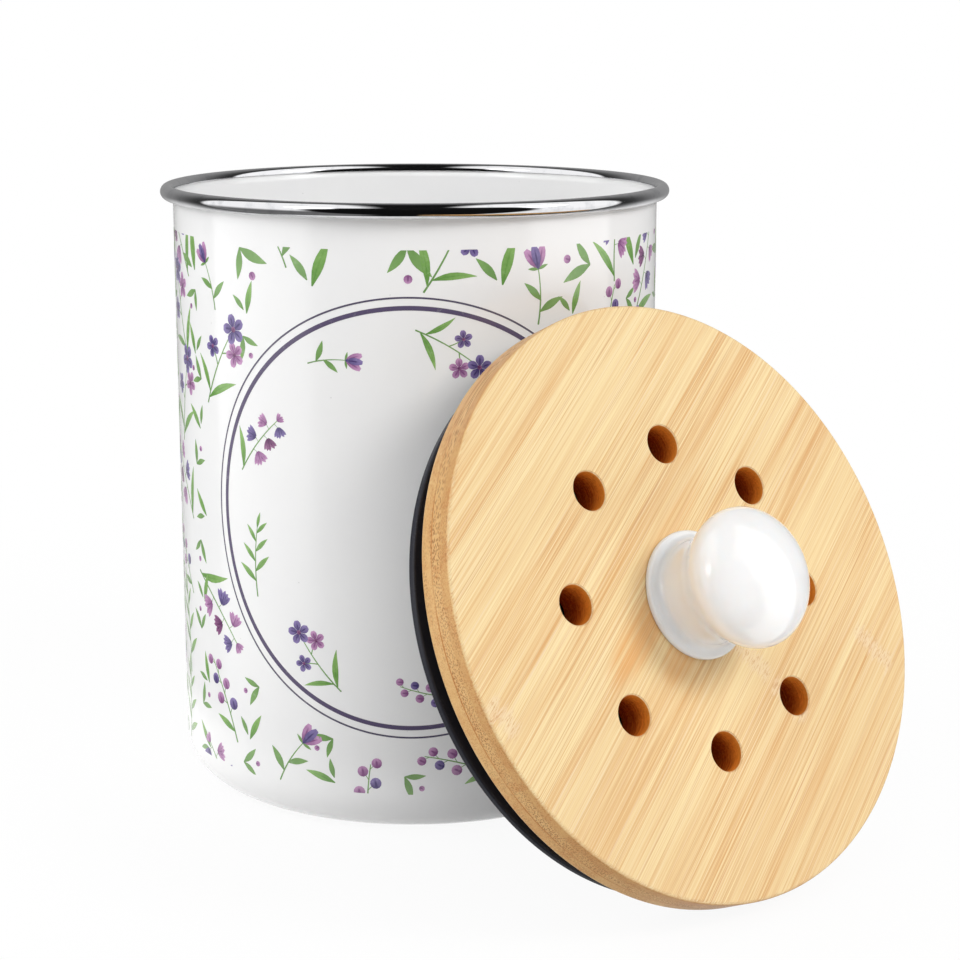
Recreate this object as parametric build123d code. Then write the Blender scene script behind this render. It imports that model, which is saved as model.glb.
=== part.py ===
from build123d import *
from math import acos, cos, degrees, radians, sin, sqrt
import os

# Round kitchen compost caddy: an enamelled steel bin with a stainless rim, and a bamboo lid that
# stands on the floor and leans on the bin. Sizes in millimetres, Z up, origin at the centre of the
# bin's base.

# Bin: a deep-drawn steel pot, enamelled inside and out
BODY_DIAMETER = 176.0
OVERALL_HEIGHT = 220.0
SHELL_WALL = 0.8
BASE_CORNER_RADIUS = 16.0

# Rim: the wall jogs outward and curls over inside a rolled stainless bead, 185 across
BEAD_HEIGHT = 5.2
TRIM_THICKNESS = 0.5
CURL_GAP = 0.1
JOG_STEP = 0.7
JOG_RADIUS = 3.0
CURL_SWEEP_ANGLE = 250.0
TRIM_SWEEP_ANGLE = 290.0

# Lid: two glued bamboo plies with a ring of vent holes, 198 across
LID_OVERHANG = 5.2
UPPER_PLY = 8.4
LOWER_PLY = 5.6
LID_EDGE_RADIUS = 1.3
VENT_COUNT = 8
VENT_DIAMETER = 13.0
VENT_CIRCLE = 102.0
VENT_CHAMFER = 0.4

# Knob: turned mushroom shape, its heights measured from the lid's face
KNOB_FOOT_DIAMETER = 42.8
KNOB_FOOT_THICKNESS = 2.4
KNOB_FOOT_ROUNDING = 0.9
KNOB_COVE_RADIUS = 3.0
KNOB_COVE_STEP = 0.9
KNOB_SWELL_DIAMETER = 36.8
KNOB_SWELL_HEIGHT = 14.5
KNOB_HEAD_DIAMETER = 45.6
KNOB_HEAD_HEIGHT = 25.6
KNOB_HEIGHT = 39.5

# Knob fixing: a machine screw from behind, into a brass insert
SCREW_DIAMETER = 5.0
SCREW_REACH = 11.0
SCREW_HEAD_DIAMETER = 9.6
SCREW_HEAD_HEIGHT = 3.4
SCREW_SLOT_DEPTH = 1.6
SCREW_SLOT_WIDTH = 1.4
SCREW_HOLE_CLEARANCE = 0.25
THREAD_CLEARANCE = 0.05
INSERT_DIAMETER = 8.0
INSERT_LENGTH = 13.0
INSERT_CLEARANCE = 0.03
INSERT_TIP_ROOM = 1.5
FLAT_WASHER_DIAMETER = 16.0
FLAT_WASHER_THICKNESS = 1.2
LOCK_WASHER_DIAMETER = 9.2
LOCK_WASHER_THICKNESS = 1.3
LOCK_WASHER_SPLIT = 1.0

# Filter housing: a moulded ring behind the bamboo, open towards it
NECK_INSET = 4.3
NECK_HEIGHT = 10.7
HOUSING_WALL = 2.0
HOUSING_FLOOR = 2.2
PLUG_CLEARANCE = 0.3
SEAL_RIDGE = 0.5
SEAL_RIDGE_HEIGHT = 0.8
PLUG_LAND = 1.1
PLUG_CHAMFER = 0.8
STOP_WIDTH = 2.0
HEAD_ROOM = 1.3
BOSS_COUNT = 4
BOSS_WALL = 1.5

# Housing screws, driven from behind into both plies
WOOD_SCREW_DIAMETER = 3.5
WOOD_SCREW_BITE = 9.0
WOOD_SCREW_TIP = 2.5
WOOD_SCREW_HEAD_DIAMETER = 6.6
WOOD_SCREW_HEAD_HEIGHT = 2.4
WOOD_SCREW_SINK = 1.2
WOOD_SCREW_CLEARANCE = 0.1
WOOD_SCREW_SLOT = 1.0

# Sealing ring: a soft lip that lands on the bead and reaches past it
SEAL_OVERHANG = 1.3
SEAL_THICKNESS = 3.0
SEAL_EDGE_RADIUS = 0.8
SEAL_FIT = 0.05
SEAL_SEAT_DEPTH = 0.5
SEAL_SEAT_MARGIN = 1.0

# Filter cup with its pull tab, and the charcoal pad in it
CUP_DIAMETER = 124.4
CUP_WALL = 1.5
CUP_FLOOR = 1.6
CUP_CLEARANCE = 0.3
CUP_STOP_GAP = 0.1
PAD_THICKNESS = 6.0
PAD_CLEARANCE = 0.3
PAD_TOP_ROOM = 0.4
GRILLE_RINGS = 5
GRILLE_FIRST_RADIUS = 15.5
GRILLE_RING_PITCH = 9.0
GRILLE_SLOT_WIDTH = 5.0
GRILLE_SPOKES = 4
GRILLE_SPOKE_WIDTH = 3.0
TAB_LENGTH = 20.0
TAB_THICKNESS = 2.4
TAB_HEIGHT = 7.0
TAB_ROUNDING = 1.0

# Place of the lid: it stands on the floor and leans on the bin's front right
LID_TILT_BACK = 24.85
LID_TURN = 41.52
LID_BEARING = 37.5
LID_SPIN = 82.9
WALL_GAP = 0.3

# How finely the lid's place is searched, and how closely an edge has to match to be picked
ANGLE_STEPS = 3600
MATCH = 0.001

# Section of the rim: the curl and the trim share one centre
WALL_MIDDLE = BODY_DIAMETER / 2 - SHELL_WALL / 2
TRIM_OUTER = BEAD_HEIGHT / 2
TRIM_MIDDLE = TRIM_OUTER - TRIM_THICKNESS / 2
CURL_MIDDLE = TRIM_OUTER - TRIM_THICKNESS - CURL_GAP - SHELL_WALL / 2
BEAD_RADIUS = WALL_MIDDLE + JOG_STEP + CURL_MIDDLE
BEAD_LEVEL = OVERALL_HEIGHT - TRIM_OUTER
RIM_RADIUS = BEAD_RADIUS + TRIM_OUTER

# Radii that follow from those sizes
MOUTH_RADIUS = BODY_DIAMETER / 2 - SHELL_WALL
SEAL_RADIUS = RIM_RADIUS + SEAL_OVERHANG
LID_RADIUS = SEAL_RADIUS + LID_OVERHANG
NECK_RADIUS = SEAL_RADIUS - NECK_INSET
RIDGE_RADIUS = MOUTH_RADIUS - PLUG_CLEARANCE
PLUG_RADIUS = RIDGE_RADIUS - SEAL_RIDGE
CUP_RADIUS = CUP_DIAMETER / 2
BORE_RADIUS = CUP_RADIUS + CUP_CLEARANCE
BOSS_CIRCLE = BORE_RADIUS + PLUG_RADIUS
SCREW_HOLE_RADIUS = SCREW_DIAMETER / 2 + SCREW_HOLE_CLEARANCE
PILOT_RADIUS = WOOD_SCREW_DIAMETER / 2 + WOOD_SCREW_CLEARANCE
HEAD_POCKET_RADIUS = WOOD_SCREW_HEAD_DIAMETER / 2 + WOOD_SCREW_CLEARANCE

# Depths behind the lid's face that follow from those sizes
LID_BACK = UPPER_PLY + LOWER_PLY
SEAL_FRONT = LID_BACK + NECK_HEIGHT
SEAL_BACK = SEAL_FRONT + SEAL_THICKNESS
FLAT_WASHER_BACK = LID_BACK + FLAT_WASHER_THICKNESS
LOCK_WASHER_BACK = FLAT_WASHER_BACK + LOCK_WASHER_THICKNESS
SCREW_HEAD_BACK = LOCK_WASHER_BACK + SCREW_HEAD_HEIGHT

# The housing is as deep as its plug needs, or its filter behind the knob's screw
RIDGE_BACK = SEAL_BACK + SEAL_RIDGE_HEIGHT
CUP_HEIGHT = PAD_TOP_ROOM + PAD_THICKNESS + CUP_FLOOR
HOUSING_BACK = max(
    RIDGE_BACK + PLUG_LAND + PLUG_CHAMFER,
    SCREW_HEAD_BACK + HEAD_ROOM + CUP_STOP_GAP + CUP_HEIGHT,
)
CUP_FRONT = HOUSING_BACK - CUP_HEIGHT
STOP_BACK = CUP_FRONT - CUP_STOP_GAP
PAD_FRONT = CUP_FRONT + PAD_TOP_ROOM
PAD_BACK = PAD_FRONT + PAD_THICKNESS
WOOD_HEAD_BACK = HOUSING_BACK - WOOD_SCREW_SINK
WOOD_HEAD_FRONT = WOOD_HEAD_BACK - WOOD_SCREW_HEAD_HEIGHT
WOOD_SCREW_END = LID_BACK - WOOD_SCREW_BITE

# Travel that takes the filter cup out of its bore
CUP_TRAVEL = CUP_HEIGHT + CUP_CLEARANCE


def section(*corners):
    """Flat XZ face from its corners, given as radius and height."""
    return make_face(Plane.XZ * Polyline(*corners, close=True))


def turned(face):
    """Solid made by turning an XZ face about the Z axis."""
    return revolve(face, axis=Axis.Z)


def layer(outer, inner, front, back):
    """Ring or disc between two depths behind the lid's face."""
    return turned(section((inner, -back), (outer, -back), (outer, -front), (inner, -front)))


def around(circle_diameter, count):
    """Places spaced evenly on a circle about the Z axis."""
    return [Rot(0, 0, 360 * k / count) * Pos(circle_diameter / 2, 0, 0) for k in range(count)]


def circle_edges(solid, radius, level):
    """Circular edges of a given radius that lie at a given height."""
    return solid.edges().filter_by(
        lambda edge: edge.geom_type == GeomType.CIRCLE
        and abs(edge.radius - radius) < MATCH
        and abs(edge.arc_center.Z - level) < MATCH
    )


def arc(centre_radius, centre_height, radius, start, sweep):
    """Arc in the XZ plane from a start angle, clockwise where the sweep is negative."""
    points = []
    for share in (0, 0.5, 1):
        angle = radians(start + share * sweep)
        points.append((centre_radius + radius * cos(angle), 0, centre_height + radius * sin(angle)))
    return Edge.make_three_point_arc(*points)


def sheet(path, thickness):
    """Turned sheet metal of even thickness, from the middle line of its section."""
    strip = make_face(Wire(path).offset_2d(thickness / 2))
    top = 2 * OVERALL_HEIGHT
    far = 2 * RIM_RADIUS
    half_plane = section((0, -thickness), (far, -thickness), (far, top), (0, top))
    return turned(strip & half_plane)


def bin_shell():
    """Drawn pot: flat base, rounded corner, straight wall, a jog outward and the curl."""
    corner = BASE_CORNER_RADIUS - SHELL_WALL / 2
    swing = degrees(acos(1 - JOG_STEP / (2 * JOG_RADIUS)))
    jog_foot = BEAD_LEVEL - 2 * JOG_RADIUS * sin(radians(swing))
    floor = SHELL_WALL / 2
    path = [
        Edge.make_line((0, 0, floor), (WALL_MIDDLE - corner, 0, floor)),
        arc(WALL_MIDDLE - corner, BASE_CORNER_RADIUS, corner, -90, 90),
        Edge.make_line((WALL_MIDDLE, 0, BASE_CORNER_RADIUS), (WALL_MIDDLE, 0, jog_foot)),
        arc(WALL_MIDDLE + JOG_RADIUS, jog_foot, JOG_RADIUS, 180, -swing),
        arc(WALL_MIDDLE + JOG_STEP - JOG_RADIUS, BEAD_LEVEL, JOG_RADIUS, -swing, swing),
        arc(BEAD_RADIUS, BEAD_LEVEL, CURL_MIDDLE, 180, -CURL_SWEEP_ANGLE),
    ]
    return sheet(path, SHELL_WALL)


def rim_trim():
    """Stainless strip rolled round the curl, from inside the mouth to under the bead."""
    half = TRIM_SWEEP_ANGLE / 2
    path = [
        arc(BEAD_RADIUS, BEAD_LEVEL, TRIM_MIDDLE, 180, -half),
        arc(BEAD_RADIUS, BEAD_LEVEL, TRIM_MIDDLE, 180 - half, -half),
    ]
    return sheet(path, TRIM_THICKNESS)


def vent(shown, glued):
    """Cutter for one vent hole through a ply, chamfered at its shown face."""
    inward = VENT_CHAMFER if glued > shown else -VENT_CHAMFER
    radius = VENT_DIAMETER / 2
    return turned(section(
        (0, -shown),
        (radius + VENT_CHAMFER, -shown),
        (radius, -shown - inward),
        (radius, -glued),
        (0, -glued),
    ))


def ply(shown, glued):
    """Bamboo board from the depth of its shown face to that of its glued face."""
    board = layer(LID_RADIUS, SCREW_HOLE_RADIUS, min(shown, glued), max(shown, glued))
    board = fillet(circle_edges(board, LID_RADIUS, -shown), LID_EDGE_RADIUS)
    for place in around(VENT_CIRCLE, VENT_COUNT):
        board -= place * vent(shown, glued)
    for place in housing_screw_places():
        board -= place * layer(PILOT_RADIUS, 0, WOOD_SCREW_END, LID_BACK)
    return board


def lid_upper_ply():
    """Front board, whose face shows."""
    return ply(0, UPPER_PLY)


def lid_lower_ply():
    """Back board, glued to the front one."""
    return ply(LID_BACK, UPPER_PLY)


def knob():
    """Turned knob: flared foot, coved neck and a flattened round head, bored for its insert."""
    foot = KNOB_FOOT_DIAMETER / 2
    head = KNOB_HEAD_DIAMETER / 2
    cove = foot - KNOB_COVE_STEP
    neck = cove - KNOB_COVE_RADIUS
    cove_level = KNOB_FOOT_THICKNESS + KNOB_COVE_RADIUS
    rise = KNOB_HEIGHT - KNOB_HEAD_HEIGHT
    diagonal = cos(radians(45))
    shoulder = Vector(head * diagonal, 0, KNOB_HEAD_HEIGHT + rise * diagonal)
    bore = INSERT_DIAMETER / 2 + INSERT_CLEARANCE
    bore_end = INSERT_LENGTH + INSERT_TIP_ROOM
    outline = [
        Edge.make_line((bore, 0, 0), (foot - KNOB_FOOT_ROUNDING, 0, 0)),
        arc(foot - KNOB_FOOT_ROUNDING, KNOB_FOOT_ROUNDING, KNOB_FOOT_ROUNDING, -90, 90),
        Edge.make_line((foot, 0, KNOB_FOOT_ROUNDING), (foot, 0, KNOB_FOOT_THICKNESS - KNOB_COVE_STEP)),
        arc(cove, KNOB_FOOT_THICKNESS - KNOB_COVE_STEP, KNOB_COVE_STEP, 0, 90),
        arc(cove, cove_level, KNOB_COVE_RADIUS, -90, -90),
        Edge.make_spline(
            [Vector(neck, 0, cove_level), Vector(KNOB_SWELL_DIAMETER / 2, 0, KNOB_SWELL_HEIGHT),
             Vector(head, 0, KNOB_HEAD_HEIGHT)],
            tangents=[Vector(0, 0, 1), Vector(0, 0, 1)],
        ),
        Edge.make_spline(
            [Vector(head, 0, KNOB_HEAD_HEIGHT), shoulder, Vector(0, 0, KNOB_HEIGHT)],
            tangents=[Vector(0, 0, 1), Vector(-1, 0, 0)],
        ),
        Edge.make_line((0, 0, KNOB_HEIGHT), (0, 0, bore_end)),
        Edge.make_line((0, 0, bore_end), (bore, 0, bore_end)),
        Edge.make_line((bore, 0, bore_end), (bore, 0, 0)),
    ]
    return turned(make_face(outline))


def knob_insert():
    """Threaded brass tube pressed into the knob's foot."""
    return layer(INSERT_DIAMETER / 2, SCREW_DIAMETER / 2 + THREAD_CLEARANCE, -INSERT_LENGTH, 0)


def knob_screw():
    """Slotted screw from behind the lid, through both plies and into the insert."""
    seat = LOCK_WASHER_BACK
    head = layer(SCREW_HEAD_DIAMETER / 2, 0, seat, seat + SCREW_HEAD_HEIGHT)
    slot_middle = -seat - SCREW_HEAD_HEIGHT + SCREW_SLOT_DEPTH / 2
    slot = Pos(0, 0, slot_middle) * Box(SCREW_HEAD_DIAMETER, SCREW_SLOT_WIDTH, SCREW_SLOT_DEPTH)
    shank = layer(SCREW_DIAMETER / 2, 0, -SCREW_REACH, seat)
    return head + shank - slot


def knob_flat_washer():
    """Wide washer that spreads the screw's load on the bamboo."""
    return layer(FLAT_WASHER_DIAMETER / 2, SCREW_HOLE_RADIUS, LID_BACK, FLAT_WASHER_BACK)


def knob_lock_washer():
    """Split spring washer under the screw's head."""
    washer = layer(LOCK_WASHER_DIAMETER / 2, SCREW_HOLE_RADIUS, FLAT_WASHER_BACK, LOCK_WASHER_BACK)
    split = Pos(LOCK_WASHER_DIAMETER / 2, 0, -FLAT_WASHER_BACK - LOCK_WASHER_THICKNESS / 2)
    return washer - split * Box(LOCK_WASHER_DIAMETER, LOCK_WASHER_SPLIT, LOCK_WASHER_THICKNESS)


def housing_screw_places():
    """Places of the housing's screws and bosses, halfway between vent holes."""
    turn = Rot(0, 0, 180 / VENT_COUNT)
    return [turn * place for place in around(BOSS_CIRCLE, BOSS_COUNT)]


def filter_housing():
    """Moulded ring: neck, plug with its seal ridge, floor, bore with its stop, and screw bosses."""
    floor_front = HOUSING_BACK - HOUSING_FLOOR
    shoulder_front = SEAL_FRONT - HOUSING_WALL
    body = turned(section(
        (NECK_RADIUS - HOUSING_WALL, -LID_BACK),
        (NECK_RADIUS, -LID_BACK),
        (NECK_RADIUS, -SEAL_FRONT),
        (PLUG_RADIUS, -SEAL_FRONT),
        (PLUG_RADIUS, -SEAL_BACK),
        (RIDGE_RADIUS, -SEAL_BACK),
        (PLUG_RADIUS, -RIDGE_BACK),
        (PLUG_RADIUS, -HOUSING_BACK + PLUG_CHAMFER),
        (PLUG_RADIUS - PLUG_CHAMFER, -HOUSING_BACK),
        (BORE_RADIUS, -HOUSING_BACK),
        (BORE_RADIUS, -STOP_BACK),
        (BORE_RADIUS - STOP_WIDTH, -STOP_BACK),
        (BORE_RADIUS - STOP_WIDTH, -LID_BACK),
        (BORE_RADIUS + HOUSING_WALL, -LID_BACK),
        (BORE_RADIUS + HOUSING_WALL, -floor_front),
        (PLUG_RADIUS - HOUSING_WALL, -floor_front),
        (PLUG_RADIUS - HOUSING_WALL, -shoulder_front),
        (NECK_RADIUS - HOUSING_WALL, -shoulder_front),
    ))
    for place in housing_screw_places():
        body += place * layer(HEAD_POCKET_RADIUS + BOSS_WALL, 0, LID_BACK, HOUSING_BACK)
    for place in housing_screw_places():
        body -= place * layer(PILOT_RADIUS, 0, LID_BACK, HOUSING_BACK)
        body -= place * layer(HEAD_POCKET_RADIUS, 0, WOOD_HEAD_FRONT, HOUSING_BACK)
    return body


def housing_screw():
    """One wood screw with a slotted cylindrical head and a pointed end."""
    radius = WOOD_SCREW_DIAMETER / 2
    head = WOOD_SCREW_HEAD_DIAMETER / 2
    screw = turned(section(
        (0, -WOOD_SCREW_END),
        (radius, -WOOD_SCREW_END - WOOD_SCREW_TIP),
        (radius, -WOOD_HEAD_FRONT),
        (head, -WOOD_HEAD_FRONT),
        (head, -WOOD_HEAD_BACK),
        (0, -WOOD_HEAD_BACK),
    ))
    slot = Pos(0, 0, -WOOD_HEAD_BACK + WOOD_SCREW_SLOT / 2)
    return screw - slot * Box(WOOD_SCREW_HEAD_DIAMETER, WOOD_SCREW_SLOT, WOOD_SCREW_SLOT)


def housing_screws():
    """The housing's screws, as separate solids."""
    return Compound([(place * housing_screw()).solid() for place in housing_screw_places()])


def sealing_ring():
    """Soft ring stretched behind the plug's ridge, with a shallow seat for the bead."""
    seal = layer(SEAL_RADIUS, PLUG_RADIUS + SEAL_FIT, SEAL_FRONT, SEAL_BACK)
    rims = circle_edges(seal, SEAL_RADIUS, -SEAL_FRONT) + circle_edges(seal, SEAL_RADIUS, -SEAL_BACK)
    seal = fillet(rims, SEAL_EDGE_RADIUS)
    seat = TRIM_OUTER - SEAL_SEAT_MARGIN
    return seal - layer(BEAD_RADIUS + seat, BEAD_RADIUS - seat, SEAL_BACK - SEAL_SEAT_DEPTH, SEAL_BACK)


def filter_cup():
    """Cup that slides into the housing, its floor a grille of ring slots round a pull tab."""
    inside = CUP_RADIUS - CUP_WALL
    cup = layer(CUP_RADIUS, 0, CUP_FRONT, HOUSING_BACK) - layer(inside, 0, CUP_FRONT, PAD_BACK)
    spokes = [
        Rot(0, 0, 180 * k / GRILLE_SPOKES)
        * Pos(0, 0, -(PAD_BACK + HOUSING_BACK) / 2)
        * Box(2 * inside, GRILLE_SPOKE_WIDTH, CUP_FLOOR)
        for k in range(GRILLE_SPOKES)
    ]
    for k in range(GRILLE_RINGS):
        first = GRILLE_FIRST_RADIUS + k * GRILLE_RING_PITCH
        cup -= layer(first + GRILLE_SLOT_WIDTH, first, PAD_BACK, HOUSING_BACK) - spokes
    tab = Pos(0, 0, -HOUSING_BACK - TAB_HEIGHT / 2) * Box(TAB_LENGTH, TAB_THICKNESS, TAB_HEIGHT)
    corners = tab.edges().filter_by(Axis.Y).group_by(Axis.Z)[0]
    return cup + fillet(corners, TAB_ROUNDING)


def charcoal_filter():
    """Activated carbon pad that lies on the cup's grille."""
    return layer(CUP_RADIUS - CUP_WALL - PAD_CLEARANCE, 0, PAD_FRONT, PAD_BACK)


def outer_edges():
    """Edges that may touch the floor or the wall: radius, depth and rounding of each."""
    return [
        (LID_RADIUS, LID_BACK, LID_EDGE_RADIUS),
        (SEAL_RADIUS, SEAL_BACK, SEAL_EDGE_RADIUS),
        (PLUG_RADIUS, HOUSING_BACK - PLUG_CHAMFER, 0),
        (PLUG_RADIUS - PLUG_CHAMFER, HOUSING_BACK, 0),
        (CUP_RADIUS, HOUSING_BACK + CUP_TRAVEL, 0),
        (TAB_LENGTH / 2, HOUSING_BACK + TAB_HEIGHT + CUP_TRAVEL, 0),
    ]


def lid_frame():
    """Plane of the lid's face as it stands: on the floor, and a gap short of the bin's wall."""
    tilt = radians(LID_TILT_BACK)
    turn = radians(LID_TURN)
    bearing = radians(LID_BEARING)
    outward = Vector(cos(tilt) * sin(turn), -cos(tilt) * cos(turn), sin(tilt))
    level = Vector(cos(turn), sin(turn), 0)
    rising = outward.cross(level)
    away = Vector(sin(bearing), -cos(bearing), 0)
    aside = Vector(cos(bearing), sin(bearing), 0)
    height = 0
    distance = 0
    for radius, depth, rounding in outer_edges():
        ring = radius - rounding
        back = depth - rounding
        height = max(height, ring * cos(tilt) + back * sin(tilt) + rounding)
        reach = BODY_DIAMETER / 2 + WALL_GAP + rounding
        for step in range(ANGLE_STEPS):
            angle = radians(360 * step / ANGLE_STEPS)
            point = ring * cos(angle) * level + ring * sin(angle) * rising - back * outward
            room = reach**2 - point.dot(aside) ** 2
            if room > 0:
                distance = max(distance, sqrt(room) - point.dot(away))
    spin = radians(LID_SPIN)
    first_vent = cos(spin) * level + sin(spin) * rising
    return Plane(distance * away + Vector(0, 0, height), first_vent, outward)


def main():
    """Build every piece in its place and write one STEP file for each."""
    frame = lid_frame()
    on_lid = [
        lid_upper_ply, lid_lower_ply, knob, knob_insert, knob_screw, knob_flat_washer, knob_lock_washer,
        filter_housing, housing_screws, sealing_ring, filter_cup, charcoal_filter,
    ]
    pieces = {"bin_shell": bin_shell(), "rim_trim": rim_trim()}
    for build in on_lid:
        pieces[build.__name__] = frame.location * build()
    os.makedirs("parts", exist_ok=True)
    for name, piece in pieces.items():
        export_step(piece, f"parts/{name}.step")
    print("lid face centre", frame.origin)
    print("lid outward", frame.z_dir, "first vent", frame.x_dir)
    print("cup travel", round(CUP_TRAVEL, 3), "housing back", round(HOUSING_BACK, 3))


main()
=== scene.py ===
import logging
import math
import random
from dataclasses import dataclass, field
from enum import Enum
from functools import cache
from typing import Callable, Iterable, Optional, Sequence

import bmesh
import bpy
from mathutils import Matrix, Vector


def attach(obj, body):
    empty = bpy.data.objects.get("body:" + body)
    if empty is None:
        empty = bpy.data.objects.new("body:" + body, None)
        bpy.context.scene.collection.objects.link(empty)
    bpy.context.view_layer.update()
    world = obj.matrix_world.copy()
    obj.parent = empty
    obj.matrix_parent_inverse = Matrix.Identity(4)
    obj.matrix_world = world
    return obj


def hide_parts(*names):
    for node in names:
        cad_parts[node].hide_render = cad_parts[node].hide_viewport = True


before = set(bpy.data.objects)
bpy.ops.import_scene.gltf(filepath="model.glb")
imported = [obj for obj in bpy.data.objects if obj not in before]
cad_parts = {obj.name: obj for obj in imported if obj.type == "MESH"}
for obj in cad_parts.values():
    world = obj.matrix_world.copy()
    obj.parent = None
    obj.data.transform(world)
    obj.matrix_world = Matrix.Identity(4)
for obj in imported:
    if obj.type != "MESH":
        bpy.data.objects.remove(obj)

log = logging.getLogger("caddy")
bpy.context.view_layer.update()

MM = 0.001
WELD = 2e-6
Point = tuple[float, float]
Colour = tuple[float, float, float]
Triple = tuple[float, float, float]
Piece = bpy.types.Object

# The lid as it stands: the middle of its face, its outward direction, and the way to its first vent
LID_MIDDLE = Vector((93.0084, -121.211, 96.4938)) * MM
LID_OUTWARD = Vector((0.601506, -0.679401, 0.420244)).normalized()
LID_FIRST_VENT = Vector((-0.183892, 0.394167, 0.900453)).normalized()
# How far the bamboo's grain is turned on the lid's face, from the way to its first vent
GRAIN_SLANT = -46.0


class Body(Enum):
    """The parts of the caddy that move apart."""

    BIN = "bin"
    LID = "lid"
    FILTER = "filter_cartridge"


def lid_place() -> Matrix:
    """Turn the lid's own frame, with Z out of its face, into the caddy's.

    Returns:
        The lid's place.
    """
    across = LID_OUTWARD.cross(LID_FIRST_VENT)
    turn = Matrix((LID_FIRST_VENT, across, LID_OUTWARD)).transposed().to_4x4()
    return Matrix.Translation(LID_MIDDLE) @ turn


# Bench work: the operators that every piece is made with


def clear_selection() -> None:
    """Leave edit mode with nothing selected."""
    if bpy.context.object and bpy.context.object.mode != "OBJECT":
        bpy.ops.object.mode_set(mode="OBJECT")
    bpy.ops.object.select_all(action="DESELECT")


def only(piece: Piece) -> Piece:
    """Select one piece and make it the active one.

    Args:
        piece: the piece.

    Returns:
        The same piece.
    """
    clear_selection()
    piece.select_set(True)
    bpy.context.view_layer.objects.active = piece
    return piece


def edit(piece: Piece) -> None:
    """Open one piece for editing with everything in it selected.

    Args:
        piece: the piece.
    """
    only(piece)
    bpy.ops.object.mode_set(mode="EDIT")
    bpy.ops.mesh.select_mode(type="VERT")
    bpy.ops.mesh.select_all(action="SELECT")


def close() -> None:
    """Leave edit mode."""
    bpy.ops.object.mode_set(mode="OBJECT")


def settle() -> None:
    """Take the place of the selected piece into its mesh."""
    bpy.ops.object.transform_apply(location=True, rotation=True, scale=True)


def started(name: str, add: Callable[..., object], **settings: object) -> Piece:
    """Start a piece with one of Blender's own shapes.

    Args:
        name: of the piece.
        add: the operator that adds the shape.
        settings: what the operator is given.

    Returns:
        The piece, selected and active.
    """
    clear_selection()
    add(**settings)
    piece = bpy.context.object
    piece.name = name
    return piece


def box(name: str, size: Sequence[float], middle: float, turn: float = 0.0) -> Piece:
    """Make a box about the Z axis, in millimetres.

    Args:
        name: of the box.
        size: along X, Y and Z.
        middle: height of its middle.
        turn: degrees about the Z axis.

    Returns:
        The box.
    """
    piece = started(name, bpy.ops.mesh.primitive_cube_add, size=1, location=(0, 0, middle * MM),
                    rotation=(0, 0, math.radians(turn)), scale=[side * MM for side in size])
    settle()
    return piece


def pick(piece: Piece, wanted: Callable[..., bool], faces: bool = False) -> None:
    """Select the corners of an opened piece that pass a test, or its faces.

    Args:
        piece: the piece, open for editing.
        wanted: test of one corner or face.
        faces: whether faces are picked.
    """
    bpy.ops.mesh.select_mode(type="FACE" if faces else "VERT")
    mesh = bmesh.from_edit_mesh(piece.data)
    for part in mesh.faces if faces else mesh.verts:
        part.select = wanted(part)
    mesh.select_flush_mode()
    bmesh.update_edit_mesh(piece.data)


def copy_of(piece: Piece, place: Matrix) -> Piece:
    """Copy a piece with a mesh of its own.

    Args:
        piece: the piece to copy.
        place: where the copy goes, taken into its mesh.

    Returns:
        The copy.
    """
    twin = piece.copy()
    twin.data = piece.data.copy()
    bpy.context.collection.objects.link(twin)
    twin.data.transform(place)
    if place.determinant() < 0:
        twin.data.flip_normals()
    return twin


def joined(name: str, pieces: Iterable[Piece]) -> Piece:
    """Join pieces into one and name it.

    Args:
        name: of the piece that they become.
        pieces: what is joined.

    Returns:
        The one piece.
    """
    clear_selection()
    for piece in pieces:
        piece.select_set(True)
        bpy.context.view_layer.objects.active = piece
    bpy.ops.object.join()
    bpy.context.object.name = name
    return bpy.context.object


def scrap(*pieces: Piece) -> None:
    """Throw away pieces that were only needed on the way.

    Args:
        pieces: what is thrown away.
    """
    clear_selection()
    for piece in pieces:
        piece.select_set(True)
    bpy.ops.object.delete()


def apply_modifier(piece: Piece, kind: str, **settings: object) -> None:
    """Give a piece a modifier and apply it at once.

    Args:
        piece: the piece.
        kind: Blender's name for the modifier.
        settings: its settings.
    """
    only(piece)
    bpy.ops.object.modifier_add(type=kind)
    modifier = piece.modifiers[-1]
    for key, value in settings.items():
        setattr(modifier, key, value)
    bpy.ops.object.modifier_apply(modifier=modifier.name)


def boolean(piece: Piece, tool: Piece, operation: str = "DIFFERENCE") -> None:
    """Take a cutter away from a piece, or unite the two."""
    apply_modifier(piece, "BOOLEAN", operation=operation, solver="EXACT", object=tool)


def cut(piece: Piece, *tools: Piece) -> None:
    """Take cutters away from a piece, and throw the cutters away.

    Args:
        piece: what is cut.
        tools: the cutters.
    """
    for tool in tools:
        boolean(piece, tool)
    scrap(*tools)


def smooth(piece: Piece, angle: float = 32.0) -> None:
    """Shade a piece smooth up to an angle, its large faces leading the shading.

    Args:
        piece: the piece.
        angle: the sharpest bend, in degrees, that is shaded smooth.
    """
    only(piece)
    bpy.ops.object.shade_smooth_by_angle(angle=math.radians(angle))
    apply_modifier(piece, "WEIGHTED_NORMAL", keep_sharp=True, weight=80)


def arc(centre: Point, radius: float, start: float, sweep: float, steps: int = 6) -> list[Point]:
    """Points along an arc of a section.

    Args:
        centre: its centre, as radius and height.
        radius: its radius.
        start: the angle of its first point, from outward.
        sweep: how far it turns, clockwise where negative.
        steps: into how many runs it is divided.

    Returns:
        The points, both ends included.
    """
    angles = [math.radians(start + sweep * k / steps) for k in range(steps + 1)]
    return [(centre[0] + radius * math.cos(a), centre[1] + radius * math.sin(a)) for a in angles]


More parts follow.
